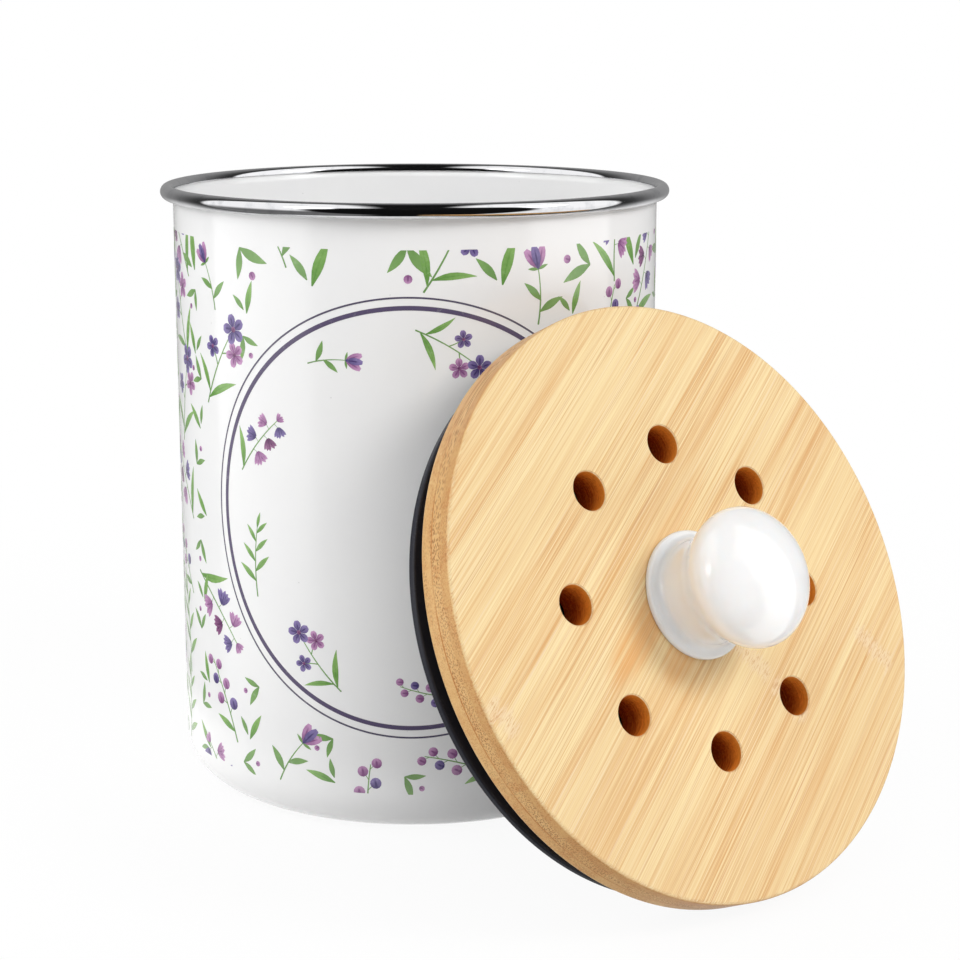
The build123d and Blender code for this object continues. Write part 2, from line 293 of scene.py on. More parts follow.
def spline(points: Sequence[Point], first: Point, last: Point, steps: int) -> list[Point]:
    """Smooth curve through three points with given directions at its ends.

    Args:
        points: the start, middle and end.
        first: the direction at the start, of length one.
        last: the direction at the end, of length one.
        steps: runs in each half.

    Returns:
        The points of the curve, both ends included.
    """
    a, b, c = (Vector(p) for p in points)
    h, k = (b - a).length, (c - b).length
    rate = (3 * (k * (b - a) / h + h * (c - b) / k) - k * Vector(first) - h * Vector(last)) / (2 * (h + k))
    line = [tuple(a)]
    for p, q, m, n, span in ((a, b, Vector(first), rate, h), (b, c, rate, Vector(last), k)):
        for step in range(1, steps + 1):
            t = step / steps
            line.append(tuple(
                p * (2 * t**3 - 3 * t**2 + 1) + m * span * (t**3 - 2 * t**2 + t)
                + q * (3 * t**2 - 2 * t**3) + n * span * (t**3 - t**2)
            ))
    return line


def strip(middle: Sequence[Point], thickness: float) -> list[Point]:
    """Section of sheet metal from the middle line of its section.

    Args:
        middle: points of the middle line.
        thickness: of the sheet.

    Returns:
        Points along one side and back along the other.
    """
    sides: tuple[list[Point], list[Point]] = ([], [])
    for k, (r, z) in enumerate(middle):
        before, after = middle[max(k - 1, 0)], middle[min(k + 1, len(middle) - 1)]
        run = math.hypot(after[0] - before[0], after[1] - before[1])
        out = ((after[1] - before[1]) / run, -(after[0] - before[0]) / run)
        for side, sign in zip(sides, (1, -1)):
            side.append((r + sign * out[0] * thickness / 2, z + sign * out[1] * thickness / 2))
    return sides[0] + sides[1][::-1]


def turned(name: str, section: Sequence[Point], steps: int, closed: bool = True) -> Piece:
    """Draw a section by extruding a corner from point to point, and spin it about the Z axis.

    Args:
        name: of the piece.
        section: points as radius and height in millimetres.
        steps: divisions of the full turn.
        closed: whether the last point runs back to the first, away from the axis.

    Returns:
        The turned piece, its normals outward.
    """
    path = [*section, section[0]] if closed else list(section)
    piece = started(name, bpy.ops.mesh.primitive_plane_add, size=MM)
    edit(piece)
    bpy.ops.mesh.merge(type="CENTER")
    bpy.ops.transform.translate(value=(path[0][0] * MM, 0, path[0][1] * MM))
    for here, there in zip(path, path[1:]):
        step = ((there[0] - here[0]) * MM, 0, (there[1] - here[1]) * MM)
        bpy.ops.mesh.extrude_vertices_move(TRANSFORM_OT_translate={"value": step})
    bpy.ops.mesh.select_all(action="SELECT")
    bpy.ops.mesh.spin(steps=steps, angle=math.tau, center=(0, 0, 0), axis=(0, 0, 1))
    bpy.ops.mesh.select_all(action="SELECT")
    bpy.ops.mesh.remove_doubles(threshold=WELD)
    bpy.ops.mesh.normals_make_consistent(inside=False)
    close()
    return piece


def around(count: int, radius: float, turn: float = 0.0) -> list[Matrix]:
    """Places spaced evenly on a circle about the Z axis, in millimetres and degrees."""
    out = Matrix.Translation((radius * MM, 0, 0))
    return [Matrix.Rotation(math.radians(turn + 360 * k / count), 4, "Z") @ out for k in range(count)]


def hand_over(piece: Piece, body: Body, slot: str, *replaced: str) -> None:
    """Put a finished piece in its place and tie it to the body that it moves with.

    Args:
        piece: the finished piece, in the lid's own frame unless the bin carries it.
        body: what it moves with.
        slot: name of the material slot that its finish belongs to; not used.
        replaced: the nodes that it stands for.
    """
    only(piece)
    if body is not Body.BIN:
        piece.matrix_world = lid_place() @ piece.matrix_world
    settle()
    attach(piece, body.value)
    if replaced:
        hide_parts(*replaced)
    log.info("%s: %d faces on %s", piece.name, len(piece.data.polygons), body.value)


# Finishes


def linear(colour: Colour) -> tuple[float, float, float, float]:
    """Turn a colour as it looks, each part from 0 to 255, into shader values."""
    parts = [c / 255 for c in colour]
    return (*[c / 12.92 if c <= 0.04045 else ((c + 0.055) / 1.055) ** 2.4 for c in parts], 1.0)


@dataclass(frozen=True, eq=False)
class Wire:
    """An output of a node; plain arithmetic on it adds maths nodes."""

    graph: "Graph"
    socket: bpy.types.NodeSocket

    def __add__(self, other: object) -> "Wire":
        """Add a value."""
        return self.graph.maths("ADD", self, other)

    def __sub__(self, other: object) -> "Wire":
        """Take a value away."""
        return self.graph.maths("SUBTRACT", self, other)

    def __rsub__(self, other: object) -> "Wire":
        """Take this away from a value."""
        return self.graph.maths("SUBTRACT", other, self)

    def __mul__(self, other: object) -> "Wire":
        """Multiply by a value."""
        return self.graph.maths("MULTIPLY", self, other)

    def __truediv__(self, other: object) -> "Wire":
        """Divide by a value."""
        return self.graph.maths("DIVIDE", self, other)

    def __abs__(self) -> "Wire":
        """Drop the sign."""
        return self.graph.maths("ABSOLUTE", self)

    __radd__, __rmul__ = __add__, __mul__

    def or_more(self, other: object) -> "Wire":
        """The larger of this and a value."""
        return self.graph.maths("MAXIMUM", self, other)

    def clamped(self) -> "Wire":
        """Keep the result of a maths node from 0 to 1."""
        self.socket.node.use_clamp = True
        return self

    def spread(self, *ranges: float, kind: str = "LINEAR") -> "Wire":
        """Map this from one range, low and high, to another, clamped."""
        return self.graph.get("MapRange", self, *ranges, interpolation_type=kind)

    def eased(self, *ranges: float) -> "Wire":
        """Map this from one range, low and high, to another, softly at both ends."""
        return self.spread(*ranges, kind="SMOOTHSTEP")


class Graph:
    """Small helper that writes a node tree line by line."""

    def __init__(self, tree: bpy.types.NodeTree) -> None:
        """Start on an emptied tree."""
        self.tree = tree
        tree.nodes.clear()

    def feed(self, socket: bpy.types.NodeSocket, value: object) -> None:
        """Link a wire to a socket, or set a plain value on it; None leaves it alone.

        Args:
            socket: an input.
            value: what it is given.
        """
        if isinstance(value, Wire):
            self.tree.links.new(value.socket, socket)
        elif value is not None:
            socket.default_value = value

    def feed_all(self, node: bpy.types.Node, **values: object) -> bpy.types.Node:
        """Feed a node's inputs by name, with underscores for spaces.

        Args:
            node: the node.
            values: what its inputs are given.

        Returns:
            The same node.
        """
        for key, value in values.items():
            self.feed(node.inputs[key.replace("_", " ")], value)
        return node

    def add(self, kind: str, *values: object, **settings: object) -> bpy.types.Node:
        """Add a shader node, set its properties, and feed its inputs in order.

        Args:
            kind: of node, without its first words.
            values: for its inputs, None to leave one alone.
            settings: its properties.

        Returns:
            The node.
        """
        node = self.tree.nodes.new("ShaderNode" + kind)
        for key, value in settings.items():
            setattr(node, key, value)
        for socket, value in zip(node.inputs, values):
            self.feed(socket, value)
        return node

    def wire(self, node: bpy.types.Node, output: int | str = 0) -> Wire:
        """One output of a node."""
        return Wire(self, node.outputs[output])

    def get(self, kind: str, *values: object, **settings: object) -> Wire:
        """Add a node and take its first output."""
        return self.wire(self.add(kind, *values, **settings))

    def maths(self, operation: str, *values: object) -> Wire:
        """Result of a maths node."""
        return self.get("Math", *values, operation=operation)

    def vector(self, operation: str, *values: object) -> Wire:
        """Result of a vector maths node, a number where the operation gives one."""
        single = operation in ("LENGTH", "DOT_PRODUCT")
        return self.wire(self.add("VectorMath", *values, operation=operation), "Value" if single else 0)

    def coordinate(self, kind: str) -> Wire:
        """One of the texture coordinates."""
        return self.wire(self.add("TexCoord"), kind)

    def rays(self) -> list[Wire]:
        """Masks of the camera, glossy and transmission rays."""
        path = self.add("LightPath")
        return [self.wire(path, f"Is {kind} Ray") for kind in ("Camera", "Glossy", "Transmission")]

    def split(self, vector: Wire) -> list[Wire]:
        """The three parts of a vector."""
        node = self.add("SeparateXYZ", vector)
        return [self.wire(node, k) for k in range(3)]

    def mix(self, share: object, first: object, second: object, blend: str = "MIX") -> Wire:
        """Mix two colours, each a wire or a colour as it looks."""
        pair = [value if isinstance(value, Wire) else linear(value) for value in (first, second)]
        return self.wire(self.add("Mix", share, *[None] * 5, *pair, data_type="RGBA", blend_type=blend), 2)

    def noise(self, where: Wire, scale: object, detail: float = 2.0, rough: float = 0.5) -> Wire:
        """Value of a noise."""
        node = self.feed_all(self.add("TexNoise"), Vector=where, Scale=scale, Detail=detail, Roughness=rough)
        return self.wire(node, "Fac")

    def streaks(self, where: Wire, scale: Triple, detail: float, rough: float = 0.5) -> Wire:
        """Value of a noise scaled differently along each axis."""
        return self.noise(self.vector("MULTIPLY", where, scale), 1.0, detail, rough)

    def cells(self, where: Wire, scale: float, **settings: object) -> Wire:
        """Distance from the nearest of many scattered points."""
        node = self.add("TexVoronoi", feature="F1", **settings)
        return self.wire(self.feed_all(node, Vector=where, Scale=scale), "Distance")

    def bump(self, height: Wire, depth: float) -> Wire:
        """Turn a height from 0 to 1 into a normal, for a relief of a given depth in metres."""
        return self.wire(self.feed_all(self.add("Bump"), Strength=1.0, Distance=depth, Height=height))

    def group(self, tree: bpy.types.NodeTree, **values: object) -> dict[str, Wire]:
        """Place a shared effect with its own values, and take its outputs by name."""
        node = self.feed_all(self.add("Group", node_tree=tree), **values)
        return {socket.name: Wire(self, socket) for socket in node.outputs}

    def hand_out(self, **values: Wire) -> bpy.types.NodeTree:
        """Give a shared effect its number outputs.

        Args:
            values: the outputs by name.

        Returns:
            The group.
        """
        for key in values:
            self.tree.interface.new_socket(name=key, in_out="OUTPUT", socket_type="NodeSocketFloat")
        self.feed_all(self.tree.nodes.new("NodeGroupOutput"), **values)
        return self.tree

    def surface(self, **values: object) -> None:
        """Add the surface shader and the output, with sockets named with underscores."""
        self.add("OutputMaterial", self.wire(self.feed_all(self.add("BsdfPrincipled"), **values)))


def shared_effect(name: str, **inputs: float) -> tuple[Graph, dict[str, Wire]]:
    """Start a node group with a vector input and number inputs.

    Args:
        name: of the group.
        inputs: names of the number inputs, and their first values.

    Returns:
        The graph, and its inputs by name.
    """
    tree = bpy.data.node_groups.new(name, "ShaderNodeTree")
    tree.interface.new_socket(name="Place", in_out="INPUT", socket_type="NodeSocketVector")
    for key, value in inputs.items():
        socket = tree.interface.new_socket(name=key, in_out="INPUT", socket_type="NodeSocketFloat")
        socket.default_value = value
    graph = Graph(tree)
    return graph, {s.name: Wire(graph, s) for s in tree.nodes.new("NodeGroupInput").outputs if s.name}


@cache
def wavy_gloss() -> bpy.types.NodeTree:
    """Group for fired gloss: slow waves and a fine orange peel as height, and faint smears.

    Returns:
        The group.
    """
    graph, given = shared_effect("wavy_gloss", Waves=60.0, Peel=700.0)
    place = given["Place"]
    height = graph.noise(place, given["Waves"], 1.0) * 0.8 + graph.noise(place, given["Peel"]) * 0.2
    smear = graph.noise(graph.vector("MULTIPLY", place, (1, 1, 0.35)), 24.0, 5.0, 0.6)
    return graph.hand_out(Height=height, Smear=smear.eased(0.35, 0.75, 0, 1))


@cache
def fine_grain() -> bpy.types.NodeTree:
    """Group for moulded and rubbed surfaces: a fine grain as height, and dust as a mask.

    Returns:
        The group.
    """
    graph, given = shared_effect("fine_grain", Scale=2500.0)
    place = given["Place"]
    cloud, speck = graph.noise(place, 45.0, 4.0, 0.6), graph.noise(place, 1900.0, 1.0)
    return graph.hand_out(Height=graph.noise(place, given["Scale"], 3.0, 0.65),
                          Dust=cloud.spread(0.4, 0.75, 0, 1) * speck.spread(0.6, 0.8, 0, 1))


@cache
def turned_lines() -> bpy.types.NodeTree:
    """Group for metal turned or rolled about an axis: fine rings as height and as a mask.

    Returns:
        The group.
    """
    graph, given = shared_effect("turned_lines", Scale=2500.0)
    x, y, z = graph.split(given["Place"])
    radius = graph.vector("LENGTH", graph.get("CombineXYZ", x, y))
    return graph.hand_out(Height=graph.noise(graph.get("CombineXYZ", radius, z), given["Scale"]),
                          Rub=graph.noise(given["Place"], 160.0, 4.0, 0.6).eased(0.45, 0.8, 0, 1))


class Finish:
    """A finish that builds its material once and hands it out again."""

    made: dict["Finish", bpy.types.Material] = {}

    def name(self) -> str:
        """Name of the material."""
        return type(self).__name__.lower()

    def write(self, graph: Graph, place: Wire) -> None:
        """Write the material's nodes; each finish has its own."""
        raise NotImplementedError

    def material(self) -> bpy.types.Material:
        """The finish as a material.

        Returns:
            The material, the same one for the same finish.
        """
        if self not in Finish.made:
            material = bpy.data.materials.new(self.name())
            material.use_nodes = True
            graph = Graph(material.node_tree)
            self.write(graph, graph.coordinate("Object"))
            Finish.made[self] = material
        return Finish.made[self]

    def on(self, piece: Piece) -> Piece:
        """Give a piece this finish all over.

        Args:
            piece: the piece.

        Returns:
            The same piece.
        """
        piece.data.materials.clear()
        piece.data.materials.append(self.material())
        return piece

    def on_node(self, name: str) -> None:
        """Give a carried-over node this finish in each of its material slots.

        Args:
            name: of the node.
        """
        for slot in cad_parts[name].material_slots:
            slot.link = "OBJECT"
            slot.material = self.material()


@dataclass(frozen=True)
class Enamel(Finish):
    """White vitreous enamel: glassy, with slow waves, a faint orange peel and fired-in specks."""

    colour: Colour = (247, 247, 246)
    shade: Colour = (242, 242, 243)
    speck: Colour = (150, 148, 145)
    roughness: float = 0.07

    def write(self, graph: Graph, place: Wire) -> None:
        """Write the enamel's nodes.

        Args:
            graph: the material's nodes.
            place: the place on the piece, in metres.
        """
        gloss = graph.group(wavy_gloss(), Place=place, Waves=55.0, Peel=650.0)
        dots = graph.cells(place, 210.0).spread(0.03, 0.06, 1, 0)
        dots *= graph.noise(place, 90.0, 0.0).spread(0.62, 0.66, 0, 0.35)
        colour = graph.mix(graph.noise(place, 35.0, 3.0), self.colour, self.shade)
        graph.surface(Base_Color=graph.mix(dots, colour, self.speck),
                      Roughness=gloss["Smear"] * 0.05 + self.roughness,
                      Normal=graph.bump(gloss["Height"], 0.00006), IOR=1.5,
                      Coat_Weight=0.35, Coat_Roughness=0.03)


@dataclass(frozen=True)
class Glaze(Finish):
    """Thick white glaze of the knob, a little greyer in soft random patches."""

    colour: Colour = (244, 244, 244)
    pooled: Colour = (241, 240, 239)
    roughness: float = 0.05

    def write(self, graph: Graph, place: Wire) -> None:
        """Write the glaze's nodes.

        Args:
            graph: the material's nodes.
            place: the place on the piece, in metres.
        """
        gloss = graph.group(wavy_gloss(), Place=place, Waves=95.0, Peel=500.0)
        tone = graph.noise(place, 70.0, 3.0).eased(0.35, 0.7, 0, 1)
        pits = graph.cells(place, 330.0).spread(0.05, 0.12, 1, 0)
        graph.surface(Base_Color=graph.mix(tone, self.colour, self.pooled),
                      Roughness=gloss["Smear"] * 0.03 + self.roughness,
                      Normal=graph.bump(gloss["Height"] - pits * 0.15, 0.00003), IOR=1.52, Coat_Weight=0.5,
                      Coat_Roughness=0.02, Subsurface_Weight=0.5, Subsurface_Scale=0.008,
                      Subsurface_Radius=(1.0, 0.85, 0.75))


class Ink(Enum):
    """The colours of the printed pattern: each shade at the root and at the tip."""

    LEAF = ((104, 152, 76), (146, 186, 110))
    STEM = ((114, 154, 90), (132, 172, 104))
    BLUE = ((78, 66, 116), (140, 124, 178))
    MAUVE = ((138, 88, 136), (202, 154, 196))
    PLUM = ((98, 56, 96), (156, 104, 146))
    RING = ((94, 84, 112), (94, 84, 112))
    FINE_RING = ((92, 86, 106), (92, 86, 106))

    def vein(self) -> float:
        """How dark the vein of a blade is in this colour."""
        return 0.0 if self in (Ink.RING, Ink.FINE_RING, Ink.STEM) else 0.25 if self is Ink.LEAF else 0.7


@dataclass(frozen=True)
class Print(Finish):
    """Fired-on ink, shaded from root to tip with a slightly uneven cover."""

    ink: Ink
    worn: Colour = (235, 232, 236)

    def name(self) -> str:
        """Name of the material."""
        return f"print_{self.ink.name.lower()}"

    def write(self, graph: Graph, place: Wire) -> None:
        """Write the ink's nodes.

        Args:
            graph: the material's nodes.
            place: the place on the piece, in metres.
        """
        across, along, _ = graph.split(graph.coordinate("UV"))
        cover = graph.noise(place, 420.0, 3.0, 0.6)
        share = (along + cover.spread(0.3, 0.7, -0.25, 0.25)).clamped()
        vein = abs(across - 0.5).eased(0.03, 0.14, self.ink.vein(), 0) * along.eased(0.55, 0.95, 1, 0)
        colour = graph.mix((share - vein).clamped(), *self.ink.value)
        colour = graph.mix(cover.spread(0.62, 0.8, 0, 0.16), colour, self.worn)
        gloss = graph.group(wavy_gloss(), Place=place, Waves=55.0, Peel=650.0)
        graph.surface(Base_Color=colour, Roughness=gloss["Smear"] * 0.05 + 0.1,
                      Normal=graph.bump(gloss["Height"], 0.00006), IOR=1.5,
                      Coat_Weight=0.3, Coat_Roughness=0.04)


@dataclass(frozen=True)
class Stainless(Finish):
    """Polished stainless strip, with fine rolling lines and a few rubbed patches."""

    colour: Colour = (226, 226, 228)
    rubbed: Colour = (206, 207, 210)
    roughness: float = 0.05

    def write(self, graph: Graph, place: Wire) -> None:
        """Write the metal's nodes.

        Args:
            graph: the material's nodes.
            place: the place on the piece, in metres.
        """
        lines = graph.group(turned_lines(), Place=place, Scale=4200.0)
        graph.surface(Base_Color=graph.mix(lines["Rub"], self.colour, self.rubbed), Metallic=1.0,
                      Roughness=lines["Rub"] * 0.05 + self.roughness,
                      Normal=graph.bump(lines["Height"], 0.000002))


@dataclass(frozen=True)
class ScrewSteel(Finish):
    """Zinc plated steel of the screws and washers, with a fine grain, dulled in patches."""

    colour: Colour = (188, 190, 196)
    worn: Colour = (160, 160, 158)
    roughness: float = 0.28
    dulling: float = 0.15
    grain: float = 3200.0
    patches: float = 420.0
    patch_end: Point = (0.7, 1.0)

    def write(self, graph: Graph, place: Wire) -> None:
        """Write the metal's nodes.

        Args:
            graph: the material's nodes.
            place: the place on the piece, in metres.
        """
        grain = graph.group(fine_grain(), Place=place, Scale=self.grain)
        high, most = self.patch_end
        patch = graph.noise(place, self.patches, 4.0, 0.6).eased(0.4, high, 0, most)
        graph.surface(Base_Color=graph.mix(patch, self.colour, self.worn), Metallic=1.0,
                      Roughness=patch * self.dulling + self.roughness,
                      Normal=graph.bump(grain["Height"], 0.00001))


@dataclass(frozen=True)
class Brass(ScrewSteel):
    """Plain brass of the knob's insert, faintly tarnished."""

    colour: Colour = (214, 178, 104)
    worn: Colour = (150, 112, 60)
    roughness: float = 0.3
    dulling: float = 0.2
    grain: float = 2800.0
    patches: float = 500.0
    patch_end: Point = (0.75, 0.8)


@dataclass(frozen=True)
class Moulding(Finish):
    """Black moulded plastic with a spark-eroded grain and a trace of dust; its default black is deepened into
    painted shade.
    """

    # Near black, made darker than the plastic itself as painted shade for the housing's neck under the bamboo
    colour: Colour = (6, 6, 7)
    roughness: float = 0.5
    grain: float = 2400.0
    dusty: Colour = (96, 94, 92)
    dust: float = 0.12
    dulling: float = 0.12
    relief: float = 0.00004
    specular: Optional[float] = 0.25

    def write(self, graph: Graph, place: Wire) -> None:
        """Write the moulding's nodes.

        Args:
            graph: the material's nodes.
            place: the place on the piece, in metres.
        """
        grain = graph.group(fine_grain(), Place=place, Scale=self.grain)
        graph.surface(Base_Color=graph.mix(grain["Dust"] * self.dust, self.colour, self.dusty),
                      Roughness=grain["Height"] * self.dulling + self.roughness,
                      Normal=graph.bump(grain["Height"], self.relief), Specular_IOR_Level=self.specular)


@dataclass(frozen=True)
class SealRubber(Moulding):
    """Dark blue-grey silicone rubber with a satin skin."""

    colour: Colour = (26, 27, 38)
    roughness: float = 0.36
    grain: float = 1500.0
    dusty: Colour = (112, 112, 116)
    dust: float = 0.35
    dulling: float = 0.14
    relief: float = 0.00003
    specular: Optional[float] = None


@dataclass(frozen=True)
class CarbonFelt(Finish):
    """Needled carbon felt: matted dark fibres, some painted lighter as a painted sheen of fibres catching the
    light.
    """

    dark: Colour = (20, 20, 21)
    light: Colour = (72, 72, 74)

    def write(self, graph: Graph, place: Wire) -> None:
        """Write the felt's nodes.

        Args:
            graph: the material's nodes.
            place: the place on the piece, in metres.
        """
        mats = [graph.streaks(place, scale, 3.0, 0.7)
                for scale in ((2600, 420, 900), (420, 2600, 900), (1100, 1100, 300))]
        hair = mats[0].or_more(mats[1]).or_more(mats[2])
        # The lighter fibres are painted sheen
        graph.surface(Base_Color=graph.mix(hair.spread(0.52, 0.78, 0, 1), self.dark, self.light),
                      Roughness=hair.spread(0.4, 0.8, 0.95, 0.7), Normal=graph.bump(hair, 0.0004),
                      Sheen_Weight=0.15, Sheen_Roughness=0.6)


def board_place(graph: Graph, place: Wire) -> Wire:
    """Turn a place into millimetres along the grain, across it, and out of the lid's face.

    Args:
        graph: the material's nodes.
        place: the place on the piece, in metres.

    Returns:
        The place on the board.
    """
    lie = lid_place() @ Matrix.Rotation(math.radians(GRAIN_SLANT), 4, "Z")
    return graph.wire(graph.feed_all(graph.add("Mapping", vector_type="TEXTURE"), Vector=place,
                                     Location=lie.translation, Rotation=lie.to_euler(), Scale=(MM, MM, MM)))


@dataclass(frozen=True)
class Bamboo(Finish):
    """Laminated bamboo: strips side by side, long fibres, dotted end grain, knuckles, a glue line.

    The grain runs across the lid at a slant. All lengths are in millimetres in the board's plane.
    """

    board: str = "upper"
    strip_width: float = 20.0
    glue_depth: float = 8.4
    shift: float = 0.0
    pale: Colour = (240, 217, 166)
    middle: Colour = (232, 201, 148)
    dark: Colour = (216, 165, 106)
    fibre_brown: Colour = (200, 147, 101)
    fibre_pale: Colour = (240, 221, 190)
    end_grain: Colour = (152, 100, 50)
    # Painted shade of the boards' edges
    edge_tint: Colour = (236, 216, 190)
    skin_tint: Colour = (240, 226, 210)
    seam: Colour = (204, 148, 88)
    stain: Colour = (222, 160, 92)
    knuckle_pale: Colour = (236, 212, 176)
    knuckle_brown: Colour = (196, 134, 92)
    glue: Colour = (184, 112, 40)
    belt_depth: float = 6.2
    knuckles: tuple[Triple, ...] = (
        (41.0, -71.5, 11.0), (-2.0, -50.0, 10.0), (-1.0, -30.0, 10.0), (-86.0, 38.0, 8.0),
    )
    # Warm streaks about the knob's foot, partly stain and partly the knob's painted shadow: along, across,
    # length, width, strength
    stains: tuple[tuple[float, float, float, float, float], ...] = (
        (-27.0, 11.0, 23.0, 7.5, 0.75), (-22.0, -6.0, 12.0, 6.0, 0.6), (12.0, 19.0, 30.0, 5.0, 0.35),
    )

    def name(self) -> str:
        """Name of the material."""
        return f"bamboo_{self.board}"

    def write(self, graph: Graph, place: Wire) -> None:
        """Write the bamboo's nodes.

        Args:
            graph: the material's nodes.
            place: the place on the piece, in metres.
        """
        spot = board_place(graph, place)
        along, across, out = graph.split(spot)
        facing = graph.vector("DOT_PRODUCT", graph.coordinate("Normal"), tuple(LID_OUTWARD))
        edge = abs(facing).eased(0.25, 0.8, 1, 0)
        # Each strip was cut from another culm, so it has a tone and a run of fibres of its own
        lane = (across + graph.streaks(spot, (0.004, 0.01, 0.01), 1.0) * 1.6) / self.strip_width
        seam = abs(graph.maths("FRACT", lane) - 0.5).eased(0.4925, 0.4985, 0, 1)
        chance = graph.add("TexWhiteNoise", noise_dimensions="1D")
        own = graph.wire(graph.feed_all(chance, W=graph.maths("FLOOR", lane) + (self.shift + 3.37)), "Value")
        apart = graph.get("CombineXYZ", own * 700.0, None, own * 90.0 + self.shift * 40)
        fibre = graph.vector("ADD", spot, apart)
        broad = graph.streaks(fibre, (0.006, 0.16, 0.16), 3.0, 0.55)
        medium = graph.streaks(fibre, (0.012, 1.4, 1.1), 3.0, 0.6)
        fine = graph.streaks(fibre, (0.02, 2.8, 2.3), 2.0, 0.6)
        calm = graph.streaks(fibre, (0.008, 0.09, 0.09), 1.0).eased(0.4, 0.6, 0.55, 1.0)
        lines = (medium * 0.4 + fine * 0.6 - 0.5) * calm
        tone = (broad - 0.5) * 0.34 + lines + own.spread(0, 1, -0.035, 0.035)
        ramp = graph.add("ValToRGB", tone + 0.5)
        stops = ramp.color_ramp.elements
        stops[0].position, stops[0].color = 0.38, linear(self.pale)
        stops[1].position, stops[1].color = 0.64, linear(self.dark)
        stops.new(0.5).color = linear(self.middle)
        # Single fibres, some brown and some pale
        thread = graph.streaks(fibre, (0.015, 3.0, 2.6), 1.0, 0.4)
        colour = graph.mix(thread.spread(0.57, 0.72, 0, 0.6) * calm, graph.wire(ramp), self.fibre_brown)
        colour = graph.mix(thread.spread(0.42, 0.28, 0, 0.45), colour, self.fibre_pale)
        # Bundles of fibre, dots on the end grain: packed in a band near the skin of each culm
        bundles = graph.cells(graph.get("CombineXYZ", across * 1.3, out * 1.3), 1.0, voronoi_dimensions="2D")
        crowd = graph.streaks(fibre, (0.01, 0.07, 0.3), 1.0)
        belt = abs(out + self.belt_depth).eased(1.0, 3.4, 0.85, 0.1) + crowd.eased(0.45, 0.62, -0.1, 0.5)
        dots = (bundles.eased(0.12, 0.42, 1, 0) * (belt * edge)).clamped()
        # Painted shade: the edges of the boards are multiplied darker and browner than the faces
        colour = graph.mix(edge, colour, self.edge_tint, "MULTIPLY")
        colour = graph.mix(out.eased(-4.8, -3.6, 0, 1) * edge * 0.75, colour, self.skin_tint, "MULTIPLY")
        colour = graph.mix(dots * 0.85, colour, self.end_grain)
        colour = graph.mix(seam * 0.2, colour, self.seam)
        # Warmer streaks round the knob's foot that fade out along the grain: partly stains in the bamboo,
        # partly a painted shadow of the knob
        streak = graph.streaks(fibre, (0.012, 0.75, 0.6), 2.0).eased(0.35, 0.62, 0.25, 1)
        for u, v, long, wide, strength in self.stains:
            over, beside = (along - u) / long, (across - v) / wide
            reach = over * over + beside * beside
            colour = graph.mix(reach.eased(0.25, 1.3, strength, 0) * streak, colour, self.stain)
        # Knuckles: short bands of pale and brown flecks across one strip
        flecks = graph.streaks(spot, (0.28, 1.9, 1.5), 3.0, 0.7)
        jitter = graph.streaks(spot, (0.02, 0.8, 0.5), 2.0).spread(0.3, 0.7, -2.2, 2.2)
        for u, v, half in self.knuckles:
            within = abs(across - v).eased(half - 2.5, half, 1, 0)
            mask = abs(along - u + jitter).eased(1.5, 4.5, 1, 0) * within
            pale = mask * (flecks.spread(0.46, 0.6, 0.6, 0) * (1.0 - edge))
            colour = graph.mix(pale, colour, self.knuckle_pale)
            colour = graph.mix(mask * flecks.spread(0.52, 0.64, 0, 0.62), colour, self.knuckle_brown)
        # Glue between the two boards, seen only from the side
        line = abs(out + self.glue_depth).eased(0.12, 0.34, 1, 0) * edge
        fade = graph.streaks(spot, (0.03, 0.03, 0.03), 1.0).eased(0.4, 0.55, 0.45, 0.95)
        graph.surface(Base_Color=graph.mix(line * fade, colour, self.glue),
                      Roughness=(medium + dots) * 0.12 + 0.36,
                      Normal=graph.bump(fine * 0.6 - dots * 0.15, 0.00007), IOR=1.46,
                      Coat_Weight=0.12, Coat_Roughness=0.25)


@dataclass(frozen=True)
class BoreBamboo(Finish):
    """Sides of the drilled vents: darker, partly burnished and partly painted shade, with painted shade that
    deepens into the bore and the rings that the drill left.
    """

    light: Colour = (244, 150, 50)
    dark: Colour = (160, 66, 4)
    mouth: Colour = (232, 158, 74)

    def write(self, graph: Graph, place: Wire) -> None:
        """Write the drilled bamboo's nodes.

        Args:
            graph: the material's nodes.
            place: the place on the piece, in metres.
        """
        spot = board_place(graph, place)
        depth = graph.split(spot)[2]
        rings, fibre = (graph.streaks(spot, scale, 3.0, 0.6) for scale in ((0.1, 0.1, 3.2), (0.05, 1.4, 1.4)))
        tone = rings * 0.5 + fibre * 0.5
        # Painted shade: the bore darkens the deeper it goes
        painted_recess_shade = depth.eased(-9.5, -1.0, 0.62, -0.2) + tone.spread(0.35, 0.65, 0, 0.6)
        colour = graph.mix(painted_recess_shade, self.light, self.dark)
        graph.surface(Base_Color=graph.mix(depth.eased(-2.6, -0.3, 0, 0.4), colour, self.mouth),
                      Roughness=0.75, Normal=graph.bump(tone, 0.00015), IOR=1.3)


# The caddy's pieces


